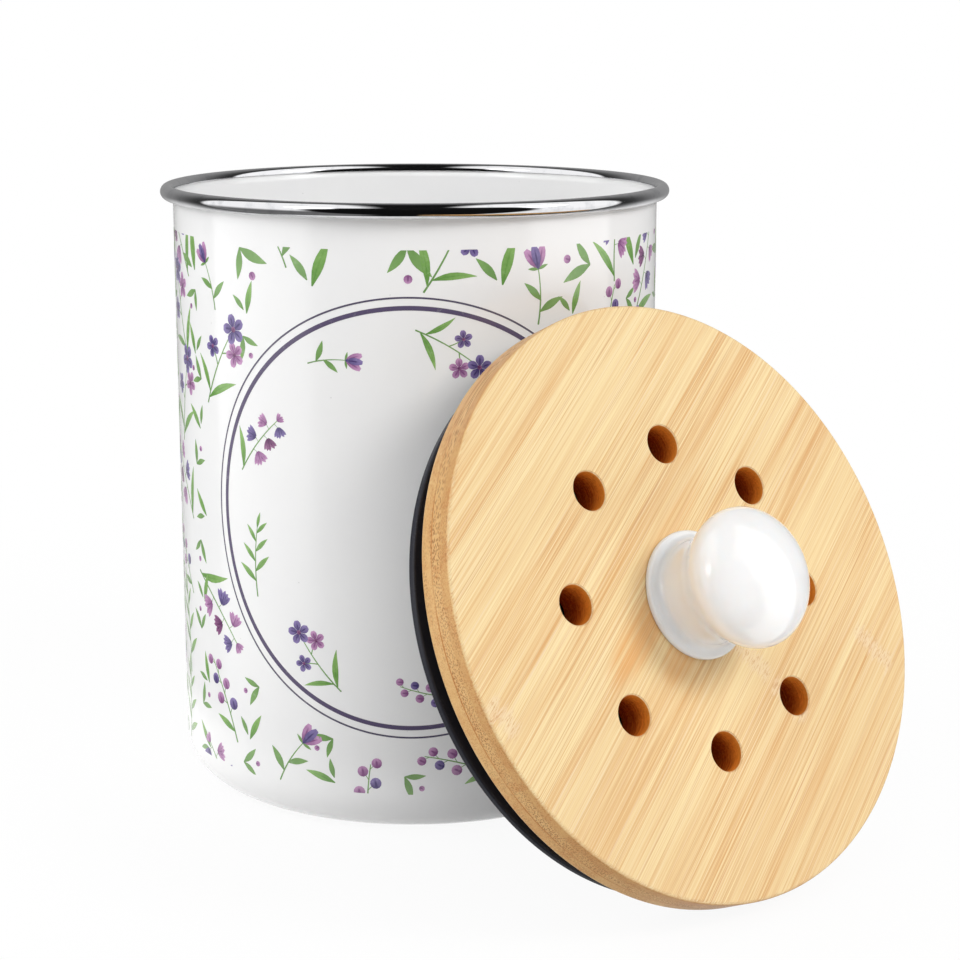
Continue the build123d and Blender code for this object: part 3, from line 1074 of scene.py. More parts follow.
@dataclass
class Bin:
    """Drawn enamelled pot with its mouth curled outward, and the stainless bead over the curl."""

    wall: float = 0.8
    wall_middle: float = 87.6
    base_corner: float = 16.0
    jog_radius: float = 3.0
    jog_step: float = 0.7
    bead_radius: float = 89.9
    bead_level: float = 217.4
    curl_middle: float = 1.6
    curl_sweep: float = 250.0
    trim: float = 0.5
    trim_middle: float = 2.35
    trim_sweep: float = 290.0
    steps: int = 256

    def pot(self) -> None:
        """Turn the pot from the middle line of its wall."""
        corner = self.base_corner - self.wall / 2
        swing = math.degrees(math.acos(1 - self.jog_step / (2 * self.jog_radius)))
        foot = self.bead_level - 2 * self.jog_radius * math.sin(math.radians(swing))
        middle: list[Point] = [(r, self.wall / 2) for r in (0.0, 20.0, 45.0, 66.0)]
        middle += arc((self.wall_middle - corner, self.base_corner), corner, -90, 90, 24)
        middle += [(self.wall_middle, z) for z in (30.0, 60.0, 95.0, 130.0, 165.0, 195.0)]
        middle += arc((self.wall_middle + self.jog_radius, foot), self.jog_radius, 180, -swing, 5)
        middle += arc((self.wall_middle + self.jog_step - self.jog_radius, self.bead_level),
                      self.jog_radius, -swing, swing, 5)[1:]
        middle += arc((self.bead_radius, self.bead_level), self.curl_middle, 180, -self.curl_sweep, 26)[1:]
        piece = turned("enamelled_pot", strip(middle, self.wall), self.steps, closed=False)
        smooth(piece)
        Enamel().on(piece)
        hand_over(piece, Body.BIN, "enamel", "bin_shell")

    def bead(self) -> None:
        """Turn the stainless bead, rolled from inside the mouth to under the curl."""
        middle = arc((self.bead_radius, self.bead_level), self.trim_middle, 180, -self.trim_sweep, 44)
        piece = turned("rolled_rim_bead", strip(middle, self.trim), self.steps)
        smooth(piece, 50)
        Stainless().on(piece)
        hand_over(piece, Body.BIN, "stainless", "rim_trim")

    def build(self) -> None:
        """Build the pot and its bead."""
        self.pot()
        self.bead()


class Motif(Enum):
    """The sprigs of the printed pattern."""

    TWIG = "twig"
    SPRAY = "spray"
    BERRIES = "berries"
    BELLS = "bells"
    BUD = "bud"
    PAIR = "pair"
    LEAVES = "leaves"


@dataclass
class Pattern:
    """Printed sprigs all over the pot, with a round frame left open at its front.

    The print is drawn flat, X along the wall and Z up, and bent round the wall at the end.
    A stem is given by its length and its sway. Sprigs may spill over the band's lower and upper edge, and
    stray from their places along and up the sheet.
    """

    radius: float = 88.0
    low: float = 16.0
    high: float = 204.5
    frame_height: float = 112.8
    frame_outer: float = 76.4
    frame_fine: float = 0.62
    frame_band: float = 73.4
    frame_band_width: float = 1.55
    wreath_radius: float = 62.0
    columns: int = 18
    pitch: float = 30.0
    spill: Point = (4.0, 12.0)
    stray: Point = (2.5, 3.0)
    fill_stray: float = 2.0
    lean: float = 38.0
    sizes: Point = (1.1, 1.28)
    clearance: float = 1.0
    film: float = 0.045
    sunk: float = 0.03
    layer: float = 0.004
    stem: Point = (27.0, 0.16)
    short_stem: Point = (15.0, 0.2)
    seed: int = 5
    parts: dict[str, Piece] = field(default_factory=dict)

    def blade(self, name: str, length: float, width: float, outline: Sequence[float], sway: float,
              ink: Ink) -> Piece:
        """Shape a grid into a leaf, petal or stem that grows up from the origin.

        Args:
            name: of the blade.
            length: from root to tip.
            width: at its widest.
            outline: share of the width at each row, from root to tip.
            sway: how far the tip leans over, as a share of the length.
            ink: its colour.

        Returns:
            The blade, flat in the XZ plane and facing the viewer.
        """
        rows = len(outline) - 1
        piece = started(name, bpy.ops.mesh.primitive_grid_add, x_subdivisions=2, y_subdivisions=rows, size=MM)
        edit(piece)
        for row, share in enumerate(outline):
            bpy.ops.mesh.select_all(action="DESELECT")
            t = row / rows
            at = (t - 0.5) * MM
            pick(piece, lambda corner: corner.index // 3 == row)
            lean = math.atan(2 * sway * t)
            bpy.ops.transform.resize(value=(max(width * share, 0.02), 1, 1), center_override=(0, at, 0))
            bpy.ops.transform.rotate(value=lean, orient_axis="Z", center_override=(0, at, 0))
            step = (sway * length * t * t * MM, (length * t) * MM - at, 0)
            bpy.ops.transform.translate(value=step)
        bpy.ops.mesh.select_all(action="SELECT")
        close()
        piece.data.transform(Matrix.Rotation(math.pi / 2, 4, "X"))
        return Print(ink).on(piece)

    def disc(self, name: str, radius: float, ink: Ink) -> Piece:
        """Shape a round dot that faces the viewer, with a ring drawn in from its rim.

        Args:
            name: of the dot.
            radius: of its rim.
            ink: its colour.

        Returns:
            The dot.
        """
        piece = started(name, bpy.ops.mesh.primitive_circle_add, vertices=12, radius=radius * MM,
                        fill_type="NGON", rotation=(math.pi / 2, 0, 0))
        edit(piece)
        bpy.ops.mesh.inset(thickness=radius * 0.45 * MM, depth=0)
        close()
        settle()
        return Print(ink).on(piece)

    def masters(self) -> None:
        """Make each leaf, petal, dot and stem once."""
        leaf = (0.12, 0.5, 0.84, 1.0, 0.95, 0.74, 0.42, 0.04)
        petal = (0.18, 0.55, 0.9, 1.0, 0.86, 0.45)
        lobe = (0.45, 0.8, 0.95, 1.0, 0.9, 0.68, 0.1)
        stalk = (1.0, 0.95, 0.9, 0.85, 0.8, 0.72, 0.65, 0.55)
        blades = {
            "leaf": (10.5, 2.4, leaf, 0.10, Ink.LEAF),
            "long_leaf": (16.0, 2.7, leaf, 0.22, Ink.LEAF),
            "small_leaf": (6.4, 1.8, leaf, 0.12, Ink.STEM),
            "blue_petal": (3.7, 2.9, petal, 0.0, Ink.BLUE),
            "mauve_petal": (3.7, 2.9, petal, 0.0, Ink.MAUVE),
            "mauve_bud": (6.6, 2.7, petal, 0.06, Ink.MAUVE),
            "blue_bud": (6.6, 2.7, petal, 0.06, Ink.BLUE),
            "stem": (self.stem[0], 0.55, stalk, self.stem[1], Ink.STEM),
            "short_stem": (self.short_stem[0], 0.48, stalk, self.short_stem[1], Ink.STEM),
            "stalk": (5.0, 0.36, stalk[::2], 0.12, Ink.STEM),
            "blue_lobe": (4.9, 1.9, lobe, 0.12, Ink.BLUE),
            "mauve_lobe": (4.9, 1.9, lobe, 0.12, Ink.MAUVE),
            "plum_lobe": (4.9, 1.9, lobe, 0.12, Ink.PLUM),
        }
        dots = {"plum_dot": (0.8, Ink.PLUM), "mauve_berry": (1.75, Ink.MAUVE), "blue_berry": (1.75, Ink.BLUE)}
        self.parts = {name: self.blade(name, *shape) for name, shape in blades.items()}
        self.parts |= {name: self.disc(name, *shape) for name, shape in dots.items()}

    def lie(self, x: float, z: float, turn: float, size: float, flip: bool = False, layer: int = 0) -> Matrix:
        """Where something lies on the sheet.

        Args:
            x: how far along the sheet.
            z: how high.
            turn: degrees clockwise from upright.
            size: its scale.
            flip: whether it is mirrored left to right.
            layer: how many films of ink lie under it.

        Returns:
            Its place.
        """
        return (Matrix.Translation((x * MM, -layer * self.layer * MM, z * MM))
                @ Matrix.Rotation(math.radians(turn), 4, "Y")
                @ Matrix.Diagonal((-size if flip else size, 1, size, 1)))

    def set_down(self, part: str, x: float, z: float, turn: float = 0.0, size: float = 1.0,
                 layer: int = 0, flip: bool = False) -> Piece:
        """Copy a part, named first, to a spot of the sheet."""
        return copy_of(self.parts[part], self.lie(x, z, turn, size, flip, layer))

    def on_stem(self, stem: Point, t: float) -> tuple[float, float, float]:
        """A point of a swaying stem, and the stem's lean there in degrees."""
        length, sway = stem
        return sway * length * t * t, length * t, math.degrees(math.atan(2 * sway * t))

    def beside(self, x: float, z: float, reach: float, turn: float) -> Point:
        """The point at a distance from another, some degrees clockwise from straight above it."""
        return x + reach * math.sin(math.radians(turn)), z + reach * math.cos(math.radians(turn))

    def flower(self, x: float, z: float, petals: str, turn: float, size: float, layer: int) -> list[Piece]:
        """Five petals about a dark dot.

        Args:
            x: how far along the sheet its middle is.
            z: how high.
            petals: the part that each petal is.
            turn: degrees clockwise of the first petal.
            size: its scale.
            layer: how many films of ink lie under it.

        Returns:
            The petals and the dot.
        """
        ring = []
        for k in range(5):
            spot = self.beside(x, z, 0.45 * size, turn + 72 * k)
            ring.append(self.set_down(petals, *spot, turn + 72 * k, size, layer + k % 3))
        return [*ring, self.set_down("plum_dot", x, z, 0, size, layer + 4)]

    def bell(self, x: float, z: float, lobes: str, turn: float, size: float, layer: int) -> list[Piece]:
        """A bell of five lobes, the middle ones on top."""
        fan = ((-34, 1, True), (34, 1, False), (-17, 2, True), (17, 2, False), (0, 3, False))
        return [self.set_down(lobes, x, z, turn + lean, size, layer + rise, flip) for lean, rise, flip in fan]

    def twig(self) -> list[Piece]:
        """A swaying stem with leaves on both sides and one at its tip.

        Returns:
            The sprig's pieces.
        """
        made = [self.set_down("stem", 0, 0)]
        for k, t in enumerate((0.22, 0.36, 0.5, 0.64, 0.78, 0.9)):
            x, z, lean = self.on_stem(self.stem, t)
            side = 1 if k % 2 else -1
            turn = lean + side * (46 - 14 * t)
            made.append(self.set_down("leaf", x, z, turn, 1.05 - 0.42 * t, 1, side < 0))
        x, z, lean = self.on_stem(self.stem, 0.98)
        return [*made, self.set_down("leaf", x, z, lean, 0.6, 1)]

    def spray(self) -> list[Piece]:
        """Three open flowers on a forked stem, over two long leaves.

        Returns:
            The sprig's pieces.
        """
        made = [self.set_down("stem", 0, 0), self.set_down("long_leaf", 0.2, 2.0, 34, 0.9, 1),
                self.set_down("long_leaf", 0, 4.0, -38, 0.75, 1, True)]
        forks = ((1.0, 0, "blue_petal", 1.1), (0.66, 1, "mauve_petal", 0.92), (0.5, -1, "blue_petal", 0.8))
        for t, side, petals, size in forks:
            x, z, lean = self.on_stem(self.stem, t)
            if side:
                made.append(self.set_down("stalk", x, z, lean + side * 48, 1.2, 0, side < 0))
                x, z = self.beside(x, z, 5.9, lean + side * 55)
            made += self.flower(x, z, petals, 17 * (t + 1), size, 2)
        return made

    def berries(self) -> list[Piece]:
        """Round berries on short stalks along a stem, with a leaf at its foot.

        Returns:
            The sprig's pieces.
        """
        size, (length, sway) = 0.9, self.stem
        made = [self.set_down("stem", 0, 0, 0, size), self.set_down("leaf", 0, 3.0, 44, 0.85, 1)]
        for k, t in enumerate((0.34, 0.46, 0.58, 0.7, 0.82, 0.94)):
            x, z, lean = self.on_stem((size * length, sway), t)
            side = 1 if k % 2 else -1
            angle = lean + side * (58 - 22 * t)
            reach = 4.2 - 1.6 * t
            made.append(self.set_down("stalk", x, z, angle - side * 6, reach / 5.0, 0, side < 0))
            berry = "mauve_berry" if k % 3 else "blue_berry"
            made.append(self.set_down(berry, *self.beside(x, z, reach, angle), 0, 1.12 - 0.3 * t, 2))
        return made

    def bells(self) -> list[Piece]:
        """Hanging bells along one side of an arching stem, over a long leaf.

        Returns:
            The sprig's pieces.
        """
        made = [self.set_down("stem", 0, 0), self.set_down("long_leaf", 0, 1.5, -26, 0.95, 1, True)]
        for k, t in enumerate((0.4, 0.54, 0.68, 0.81, 0.93)):
            x, z, lean = self.on_stem(self.stem, t)
            side = 1 if k % 2 == 0 else -1
            angle = lean + side * 74
            made.append(self.set_down("stalk", x, z, angle, 0.5, 0, side < 0))
            x, z = self.beside(x, z, 2.3, angle)
            lobes = ("mauve_lobe", "blue_lobe", "plum_lobe")[k % 3]
            made += self.bell(x, z, lobes, angle + side * 42, 1.2 - 0.4 * t, 2)
        x, z, lean = self.on_stem(self.stem, 1.0)
        return made + self.bell(x, z, "mauve_lobe", lean, 0.62, 2)

    def bud(self) -> list[Piece]:
        """A nodding bud of three petals with small leaves.

        Returns:
            The sprig's pieces.
        """
        made = [self.set_down("short_stem", 0, 0), self.set_down("small_leaf", 0.1, 3.5, -46, 1.25, 1, True),
                self.set_down("small_leaf", 0.4, 6.5, 50, 1.1, 1)]
        x, z, lean = self.on_stem(self.short_stem, 0.97)
        for turn, part, layer in ((-24, "mauve_bud", 2), (24, "mauve_bud", 2), (0, "blue_bud", 4)):
            made.append(self.set_down(part, x, z, lean + turn, 1.0, layer))
        return [*made, self.set_down("small_leaf", x, z, lean - 70, 0.5, 5, True),
                self.set_down("small_leaf", x, z, lean + 70, 0.5, 5)]

    def pair(self) -> list[Piece]:
        """Two small leaves and a dot that fill a gap.

        Returns:
            The sprig's pieces.
        """
        return [self.set_down("small_leaf", 0, 0, -28, 1.0, 0, True),
                self.set_down("small_leaf", 0, 0, 34, 1.2, 1),
                self.set_down("mauve_berry", 0.4, 6.4, 0, 0.5, 2)]

    def leaves(self) -> list[Piece]:
        """Two long leaves that cross, for a narrow gap."""
        return [self.set_down("leaf", 0, 0, -10, 0.95, 0, True),
                self.set_down("small_leaf", 1.2, 1.0, 38, 0.95, 1)]

    def sprigs(self) -> dict[Motif, Piece]:
        """Join each sprig from its parts, its middle at the origin.

        Returns:
            The sprigs by motif.
        """
        middles = {Motif.TWIG: 15.0, Motif.SPRAY: 15.0, Motif.BERRIES: 13.0, Motif.BELLS: 15.0,
                   Motif.BUD: 9.0, Motif.PAIR: 3.0, Motif.LEAVES: 4.0}
        makers = (self.twig, self.spray, self.berries, self.bells, self.bud, self.pair, self.leaves)
        made = {}
        for (motif, middle), maker in zip(middles.items(), makers):
            sprig = joined(motif.value, maker())
            sprig.data.transform(Matrix.Translation((0, 0, -middle * MM)))
            made[motif] = sprig
        return made

    def scatter(self, sprigs: dict[Motif, Piece]) -> Piece:
        """Lay sprigs in a half-drop over the whole sheet, clear of the round frame.

        Args:
            sprigs: the joined sprigs.

        Returns:
            The flat sheet.
        """
        dice = random.Random(self.seed)
        pitch = math.tau * self.radius / self.columns
        gaps = ((Motif.PAIR, self.pitch / 4, 180), (Motif.LEAVES, -self.pitch / 4, 60))
        laid = []
        deck: list[Motif] = []
        for column in range(self.columns):
            x = (column + 0.5 - self.columns / 2) * pitch
            start = self.low - self.spill[0] + column % 2 * self.pitch / 2
            for row in range(-1, 8):
                if not deck:
                    deck = [Motif.TWIG, Motif.SPRAY, Motif.BELLS, Motif.BERRIES, Motif.BUD, Motif.BELLS,
                            Motif.SPRAY]
                    dice.shuffle(deck)
                z = start + row * self.pitch
                if z > self.high + self.spill[1]:
                    continue
                spot = [value + dice.uniform(-most, most) for value, most in zip((x, z), self.stray)]
                turn = dice.uniform(-self.lean, self.lean)
                size = dice.uniform(*self.sizes)
                flip = dice.random() < 0.5
                kinds = (deck.pop(), Motif.BERRIES, Motif.BUD, Motif.PAIR)
                laid += self.fitted(sprigs, kinds, spot, turn, size, flip)
                for kind, shift, swing in gaps:
                    fill = [value + dice.uniform(-self.fill_stray, self.fill_stray)
                            for value in (x + pitch / 2, z + shift)]
                    lean = dice.uniform(-swing, swing)
                    wide = 1.7 if fill[1] > self.frame_height + self.frame_outer else 1.15
                    laid += (self.fitted(sprigs, (kind,), fill, lean, wide, flip)
                             or self.fitted(sprigs, (kind,), fill, lean, 1.0, flip))
        sheet = joined("printed_sprigs", laid)
        self.trim_sheet(sheet)
        return sheet

    def fitted(self, sprigs: dict[Motif, Piece], kinds: Sequence[Motif], spot: Sequence[float], turn: float,
               size: float, flip: bool) -> list[Piece]:
        """Copy the first sprig that clears the round frame, turned further where that helps.

        Args:
            sprigs: the joined sprigs.
            kinds: what may stand there, the best first.
            spot: where its middle goes.
            turn: degrees clockwise from upright.
            size: its scale.
            flip: whether it is mirrored left to right.

        Returns:
            The copy in a list, which stays empty where nothing fits.
        """
        centre = Vector((0, 0, self.frame_height * MM))
        for kind in kinds:
            for more in (0, 32, -32, 64, -64, 96, -96, 140):
                place = self.lie(*spot, turn + more, size, flip)
                nearest = min((place @ corner.co - centre).length for corner in sprigs[kind].data.vertices)
                if nearest > (self.frame_outer + self.clearance) * MM:
                    return [copy_of(sprigs[kind], place)]
        return []

    def trim_sheet(self, sheet: Piece) -> None:
        """Cut the sheet to the printed band.

        Args:
            sheet: the flat sheet.
        """
        edit(sheet)
        for level, above in ((self.low, False), (self.high, True)):
            bpy.ops.mesh.select_all(action="SELECT")
            bpy.ops.mesh.bisect(plane_co=(0, 0, level * MM), plane_no=(0, 0, 1), use_fill=False,
                                clear_inner=not above, clear_outer=above)
        close()

    def wreath(self, sprigs: dict[Motif, Piece]) -> Piece:
        """Lay sprigs in a ring inside the round frame, each along the circle.

        Args:
            sprigs: the joined sprigs.

        Returns:
            The flat wreath.
        """
        order = (Motif.SPRAY, Motif.BERRIES, Motif.TWIG, Motif.BELLS, Motif.BERRIES, Motif.SPRAY, Motif.TWIG,
                 Motif.BELLS, Motif.BUD)
        laid = []
        for k, motif in enumerate(order):
            spoke = self.lie(0, self.frame_height, 360 * (k + 0.35) / len(order), 1.0)
            laid.append(copy_of(sprigs[motif], spoke @ self.lie(0, self.wreath_radius, 98, 0.92)))
        return joined("printed_wreath", laid)

    def hoop(self, name: str, outer: float, width: float, ink: Ink) -> Piece:
        """One ring of the round frame.

        Args:
            name: of the ring.
            outer: its outer radius.
            width: of its line.
            ink: its colour.

        Returns:
            The flat ring.
        """
        middle, share = (0, 0, self.frame_height * MM), (outer - width) / outer
        piece = started(name, bpy.ops.mesh.primitive_circle_add, vertices=288, radius=outer * MM,
                        fill_type="NOTHING", rotation=(math.pi / 2, 0, 0), location=middle)
        edit(piece)
        bpy.ops.mesh.extrude_edges_move()
        bpy.ops.transform.resize(value=(share, 1, share), center_override=middle)
        close()
        settle()
        edit(piece)
        bpy.ops.mesh.normals_make_consistent(inside=False)
        mesh = bmesh.from_edit_mesh(piece.data)
        mesh.faces.ensure_lookup_table()
        if mesh.faces[0].normal.y > 0:
            bpy.ops.mesh.flip_normals()
        close()
        return Print(ink).on(piece)

    def fire(self, sheet: Piece) -> None:
        """Give a flat sheet its film of ink and bend it round the wall.

        Args:
            sheet: the flat print, facing the viewer.
        """
        edit(sheet)
        bpy.ops.transform.translate(value=(0, -self.film * MM, 0))
        close()
        apply_modifier(sheet, "SOLIDIFY", thickness=(self.film + self.sunk) * MM, offset=-1.0)
        xs = [corner.co.x for corner in sheet.data.vertices]
        apply_modifier(sheet, "SIMPLE_DEFORM", deform_method="BEND", deform_axis="Z",
                       angle=(max(xs) - min(xs)) / (self.radius * MM))
        sheet.data.transform(Matrix.Translation((0, -self.radius * MM, 0)))
        only(sheet)
        bpy.ops.object.shade_smooth_by_angle(angle=math.radians(40))
        hand_over(sheet, Body.BIN, "enamel")

    def build(self) -> None:
        """Build the whole print."""
        self.masters()
        sprigs = self.sprigs()
        for sheet in (self.scatter(sprigs), self.wreath(sprigs),
                      self.hoop("printed_fine_ring", self.frame_outer, self.frame_fine, Ink.FINE_RING),
                      self.hoop("printed_band_ring", self.frame_band, self.frame_band_width, Ink.RING)):
            self.fire(sheet)
        scrap(*sprigs.values(), *self.parts.values())


@dataclass
class BambooLid:
    """Two glued bamboo boards with eight vents and a hole for the knob's screw."""

    radius: float = 99.0
    upper: float = 8.4
    lower: float = 5.6
    edge: float = 1.3
    middle_hole: float = 2.75
    vents: int = 8
    vent_radius: float = 6.5
    vent_circle: float = 51.0
    chamfer: float = 0.4
    steps: int = 240

    def board(self, name: str, shown: float, glued: float, finish: Bamboo, node: str) -> None:
        """Turn one board, drill its vents and dress it.

        Args:
            name: of the board.
            shown: depth of its outer face behind the lid's face.
            glued: depth of its glued face.
            finish: its bamboo.
            node: the node that it stands for.
        """
        way = 1 if glued > shown else -1
        round_edge = arc((self.radius - self.edge, -shown - way * self.edge), self.edge, 90 * way, -90 * way)
        section = [*[(r, -shown) for r in (self.middle_hole, 30.0, 62.0, 85.0)], *round_edge,
                   (self.radius, -glued), (self.middle_hole, -glued)]
        piece = turned(name, section, self.steps)
        mouth = self.vent_radius + self.chamfer
        tool = turned("vent_cutter", [
            (0, -shown + way), (mouth + 1, -shown + way), (mouth, -shown),
            (self.vent_radius, -shown - way * self.chamfer),
            (self.vent_radius, -glued - way), (0, -glued - way),
        ], 72, closed=False)
        places = around(self.vents, self.vent_circle)
        cut(piece, *[copy_of(tool, place) for place in places])
        scrap(tool)
        smooth(piece, 35)
        finish.on(piece)
        piece.data.materials.append(BoreBamboo().material())
        spots = [place.translation.to_2d() for place in places]
        edit(piece)
        bpy.ops.mesh.select_all(action="DESELECT")
        reach = (self.vent_radius + 0.05) * MM
        pick(piece, lambda face: abs(face.normal.z) < 0.3 and any(
            (face.calc_center_median().to_2d() - spot).length < reach for spot in spots), faces=True)
        piece.active_material_index = 1
        bpy.ops.object.material_slot_assign()
        close()
        hand_over(piece, Body.LID, "bamboo", node)

    def build(self) -> None:
        """Build both boards."""
        back = self.upper + self.lower
        self.board("front_board", 0.0, self.upper, Bamboo("upper"), "lid_upper_ply")
        self.board("back_board", back, self.upper, Bamboo("lower", shift=5.0), "lid_lower_ply")


@dataclass
class Knob:
    """Turned and glazed mushroom knob, bored for its insert."""

    foot: float = 21.4
    foot_thickness: float = 2.4
    rounding: float = 0.9
    cove: float = 3.0
    step: float = 0.9
    swell: Point = (18.4, 14.5)
    head: Point = (22.8, 25.6)
    height: float = 39.5
    bore: float = 4.03
    bore_depth: float = 14.5
    steps: int = 160

    def build(self) -> None:
        """Turn the knob, glaze it, and dress the metal that holds it."""
        rise = (self.height - self.head[1]) * math.cos(math.radians(45))
        shoulder = (self.head[0] * math.cos(math.radians(45)), self.head[1] + rise)
        lip = self.foot - self.step
        neck = (lip - self.cove, self.foot_thickness + self.cove)
        section = [(0, self.bore_depth), (self.bore, self.bore_depth), (self.bore, 0)]
        section += arc((self.foot - self.rounding, self.rounding), self.rounding, -90, 90, 6)
        section += arc((lip, self.foot_thickness - self.step), self.step, 0, 90, 6)
        section += arc((lip, neck[1]), self.cove, -90, -90, 18)[1:]
        section += spline([neck, self.swell, self.head], (0, 1), (0, 1), 12)[1:]
        section += spline([self.head, shoulder, (0, self.height)], (0, 1), (-1, 0), 20)[1:]
        piece = turned("mushroom_knob", section, self.steps, closed=False)
        smooth(piece, 40)
        Glaze().on(piece)
        hand_over(piece, Body.LID, "knob_glaze", "knob")
        Brass().on_node("knob_insert")
        for node in ("knob_screw", "knob_flat_washer", "knob_lock_washer"):
            ScrewSteel().on_node(node)


@dataclass
class FilterHousing:
    """Black moulded ring behind the bamboo, its sealing ring and its screws."""

    front: float = 14.0
    neck: float = 89.5
    plug: float = 86.4
    ridge: float = 86.9
    ridge_back: float = 28.5
    seal_front: float = 24.7
    seal_back: float = 27.7
    seal: float = 93.8
    seal_edge: float = 0.8
    seat: float = 89.9
    seat_half: float = 1.6
    seat_depth: float = 0.5
    back: float = 30.4
    floor: float = 2.2
    wall: float = 2.0
    bore: float = 62.5
    stop: float = 60.5
    stop_back: float = 22.3
    chamfer: float = 0.8
    boss: float = 4.9
    boss_circle: float = 74.45
    pilot: float = 1.85
    pocket: float = 3.4
    pocket_front: float = 26.8
    soft: float = 0.3
    boss_short: float = 0.6
    seat_corner: float = 0.5
    seal_gap: float = 0.05

    def moulding(self) -> None:
        """Turn the housing, add its bosses and sink its screw pockets."""
        lip = self.soft
        floor_front, shoulder = self.back - self.floor, self.seal_front - self.wall
        section = [
            (self.neck - self.wall, -self.front), (self.neck, -self.front),
            *arc((self.neck - lip, -self.seal_front + lip), lip, 0, -90, 3),
            (self.plug, -self.seal_front), (self.plug, -self.seal_back), (self.ridge, -self.seal_back),
            (self.plug, -self.ridge_back), (self.plug, -self.back + self.chamfer),
            (self.plug - self.chamfer, -self.back),
            *arc((self.bore + lip, -self.back + lip), lip, -90, -90, 3),
            (self.bore, -self.stop_back), (self.stop, -self.stop_back), (self.stop, -self.front),
            (self.bore + self.wall, -self.front), (self.bore + self.wall, -floor_front),
            (self.plug - self.wall, -floor_front), (self.plug - self.wall, -shoulder),
            (self.neck - self.wall, -shoulder),
        ]
        piece = turned("filter_housing_ring", section, 200)
        places = around(4, self.boss_circle, 22.5)
        end = -self.back + self.boss_short
        boss = turned("boss", [(0, -self.front), (self.boss, -self.front), (self.boss, end), (0, end)], 48,
                      closed=False)
        pocket = turned("pocket", [
            (0, -self.front + 1), (self.pilot, -self.front + 1), (self.pilot, -self.pocket_front),
            (self.pocket, -self.pocket_front), (self.pocket, -self.back + lip),
            (self.pocket + lip, -self.back), (self.pocket + lip, -self.back - 1), (0, -self.back - 1),
        ], 48, closed=False)
        for place in places:
            post = copy_of(boss, place)
            boolean(piece, post, "UNION")
            scrap(post)
        cut(piece, *[copy_of(pocket, place) for place in places])
        scrap(boss, pocket)
        smooth(piece)
        Moulding().on(piece)
        hand_over(piece, Body.LID, "black_moulding", "filter_housing")

    def sealing_ring(self) -> None:
        """Turn the soft ring, with the shallow seat that the bead presses into."""
        edge = self.seal_edge
        inner, corner = self.plug + self.seal_gap, self.seat_half - self.seat_corner
        section = [
            (inner, -self.seal_front),
            *arc((self.seal - edge, -self.seal_front - edge), edge, 90, -90, 6),
            *arc((self.seal - edge, -self.seal_back + edge), edge, 0, -90, 6),
            (self.seat + self.seat_half, -self.seal_back),
            *arc((self.seat + corner, -self.seal_back), self.seat_depth, 0, 90, 4)[1:],
            *arc((self.seat - corner, -self.seal_back), self.seat_depth, 90, 90, 4),
            (inner, -self.seal_back),
        ]
        piece = turned("soft_sealing_ring", section, 240)
        smooth(piece, 35)
        SealRubber().on(piece)
        hand_over(piece, Body.LID, "seal_rubber", "sealing_ring")

    def build(self) -> None:
        """Build the housing and the seal, and dress the screws."""
        self.moulding()
        self.sealing_ring()
        ScrewSteel().on_node("housing_screws")


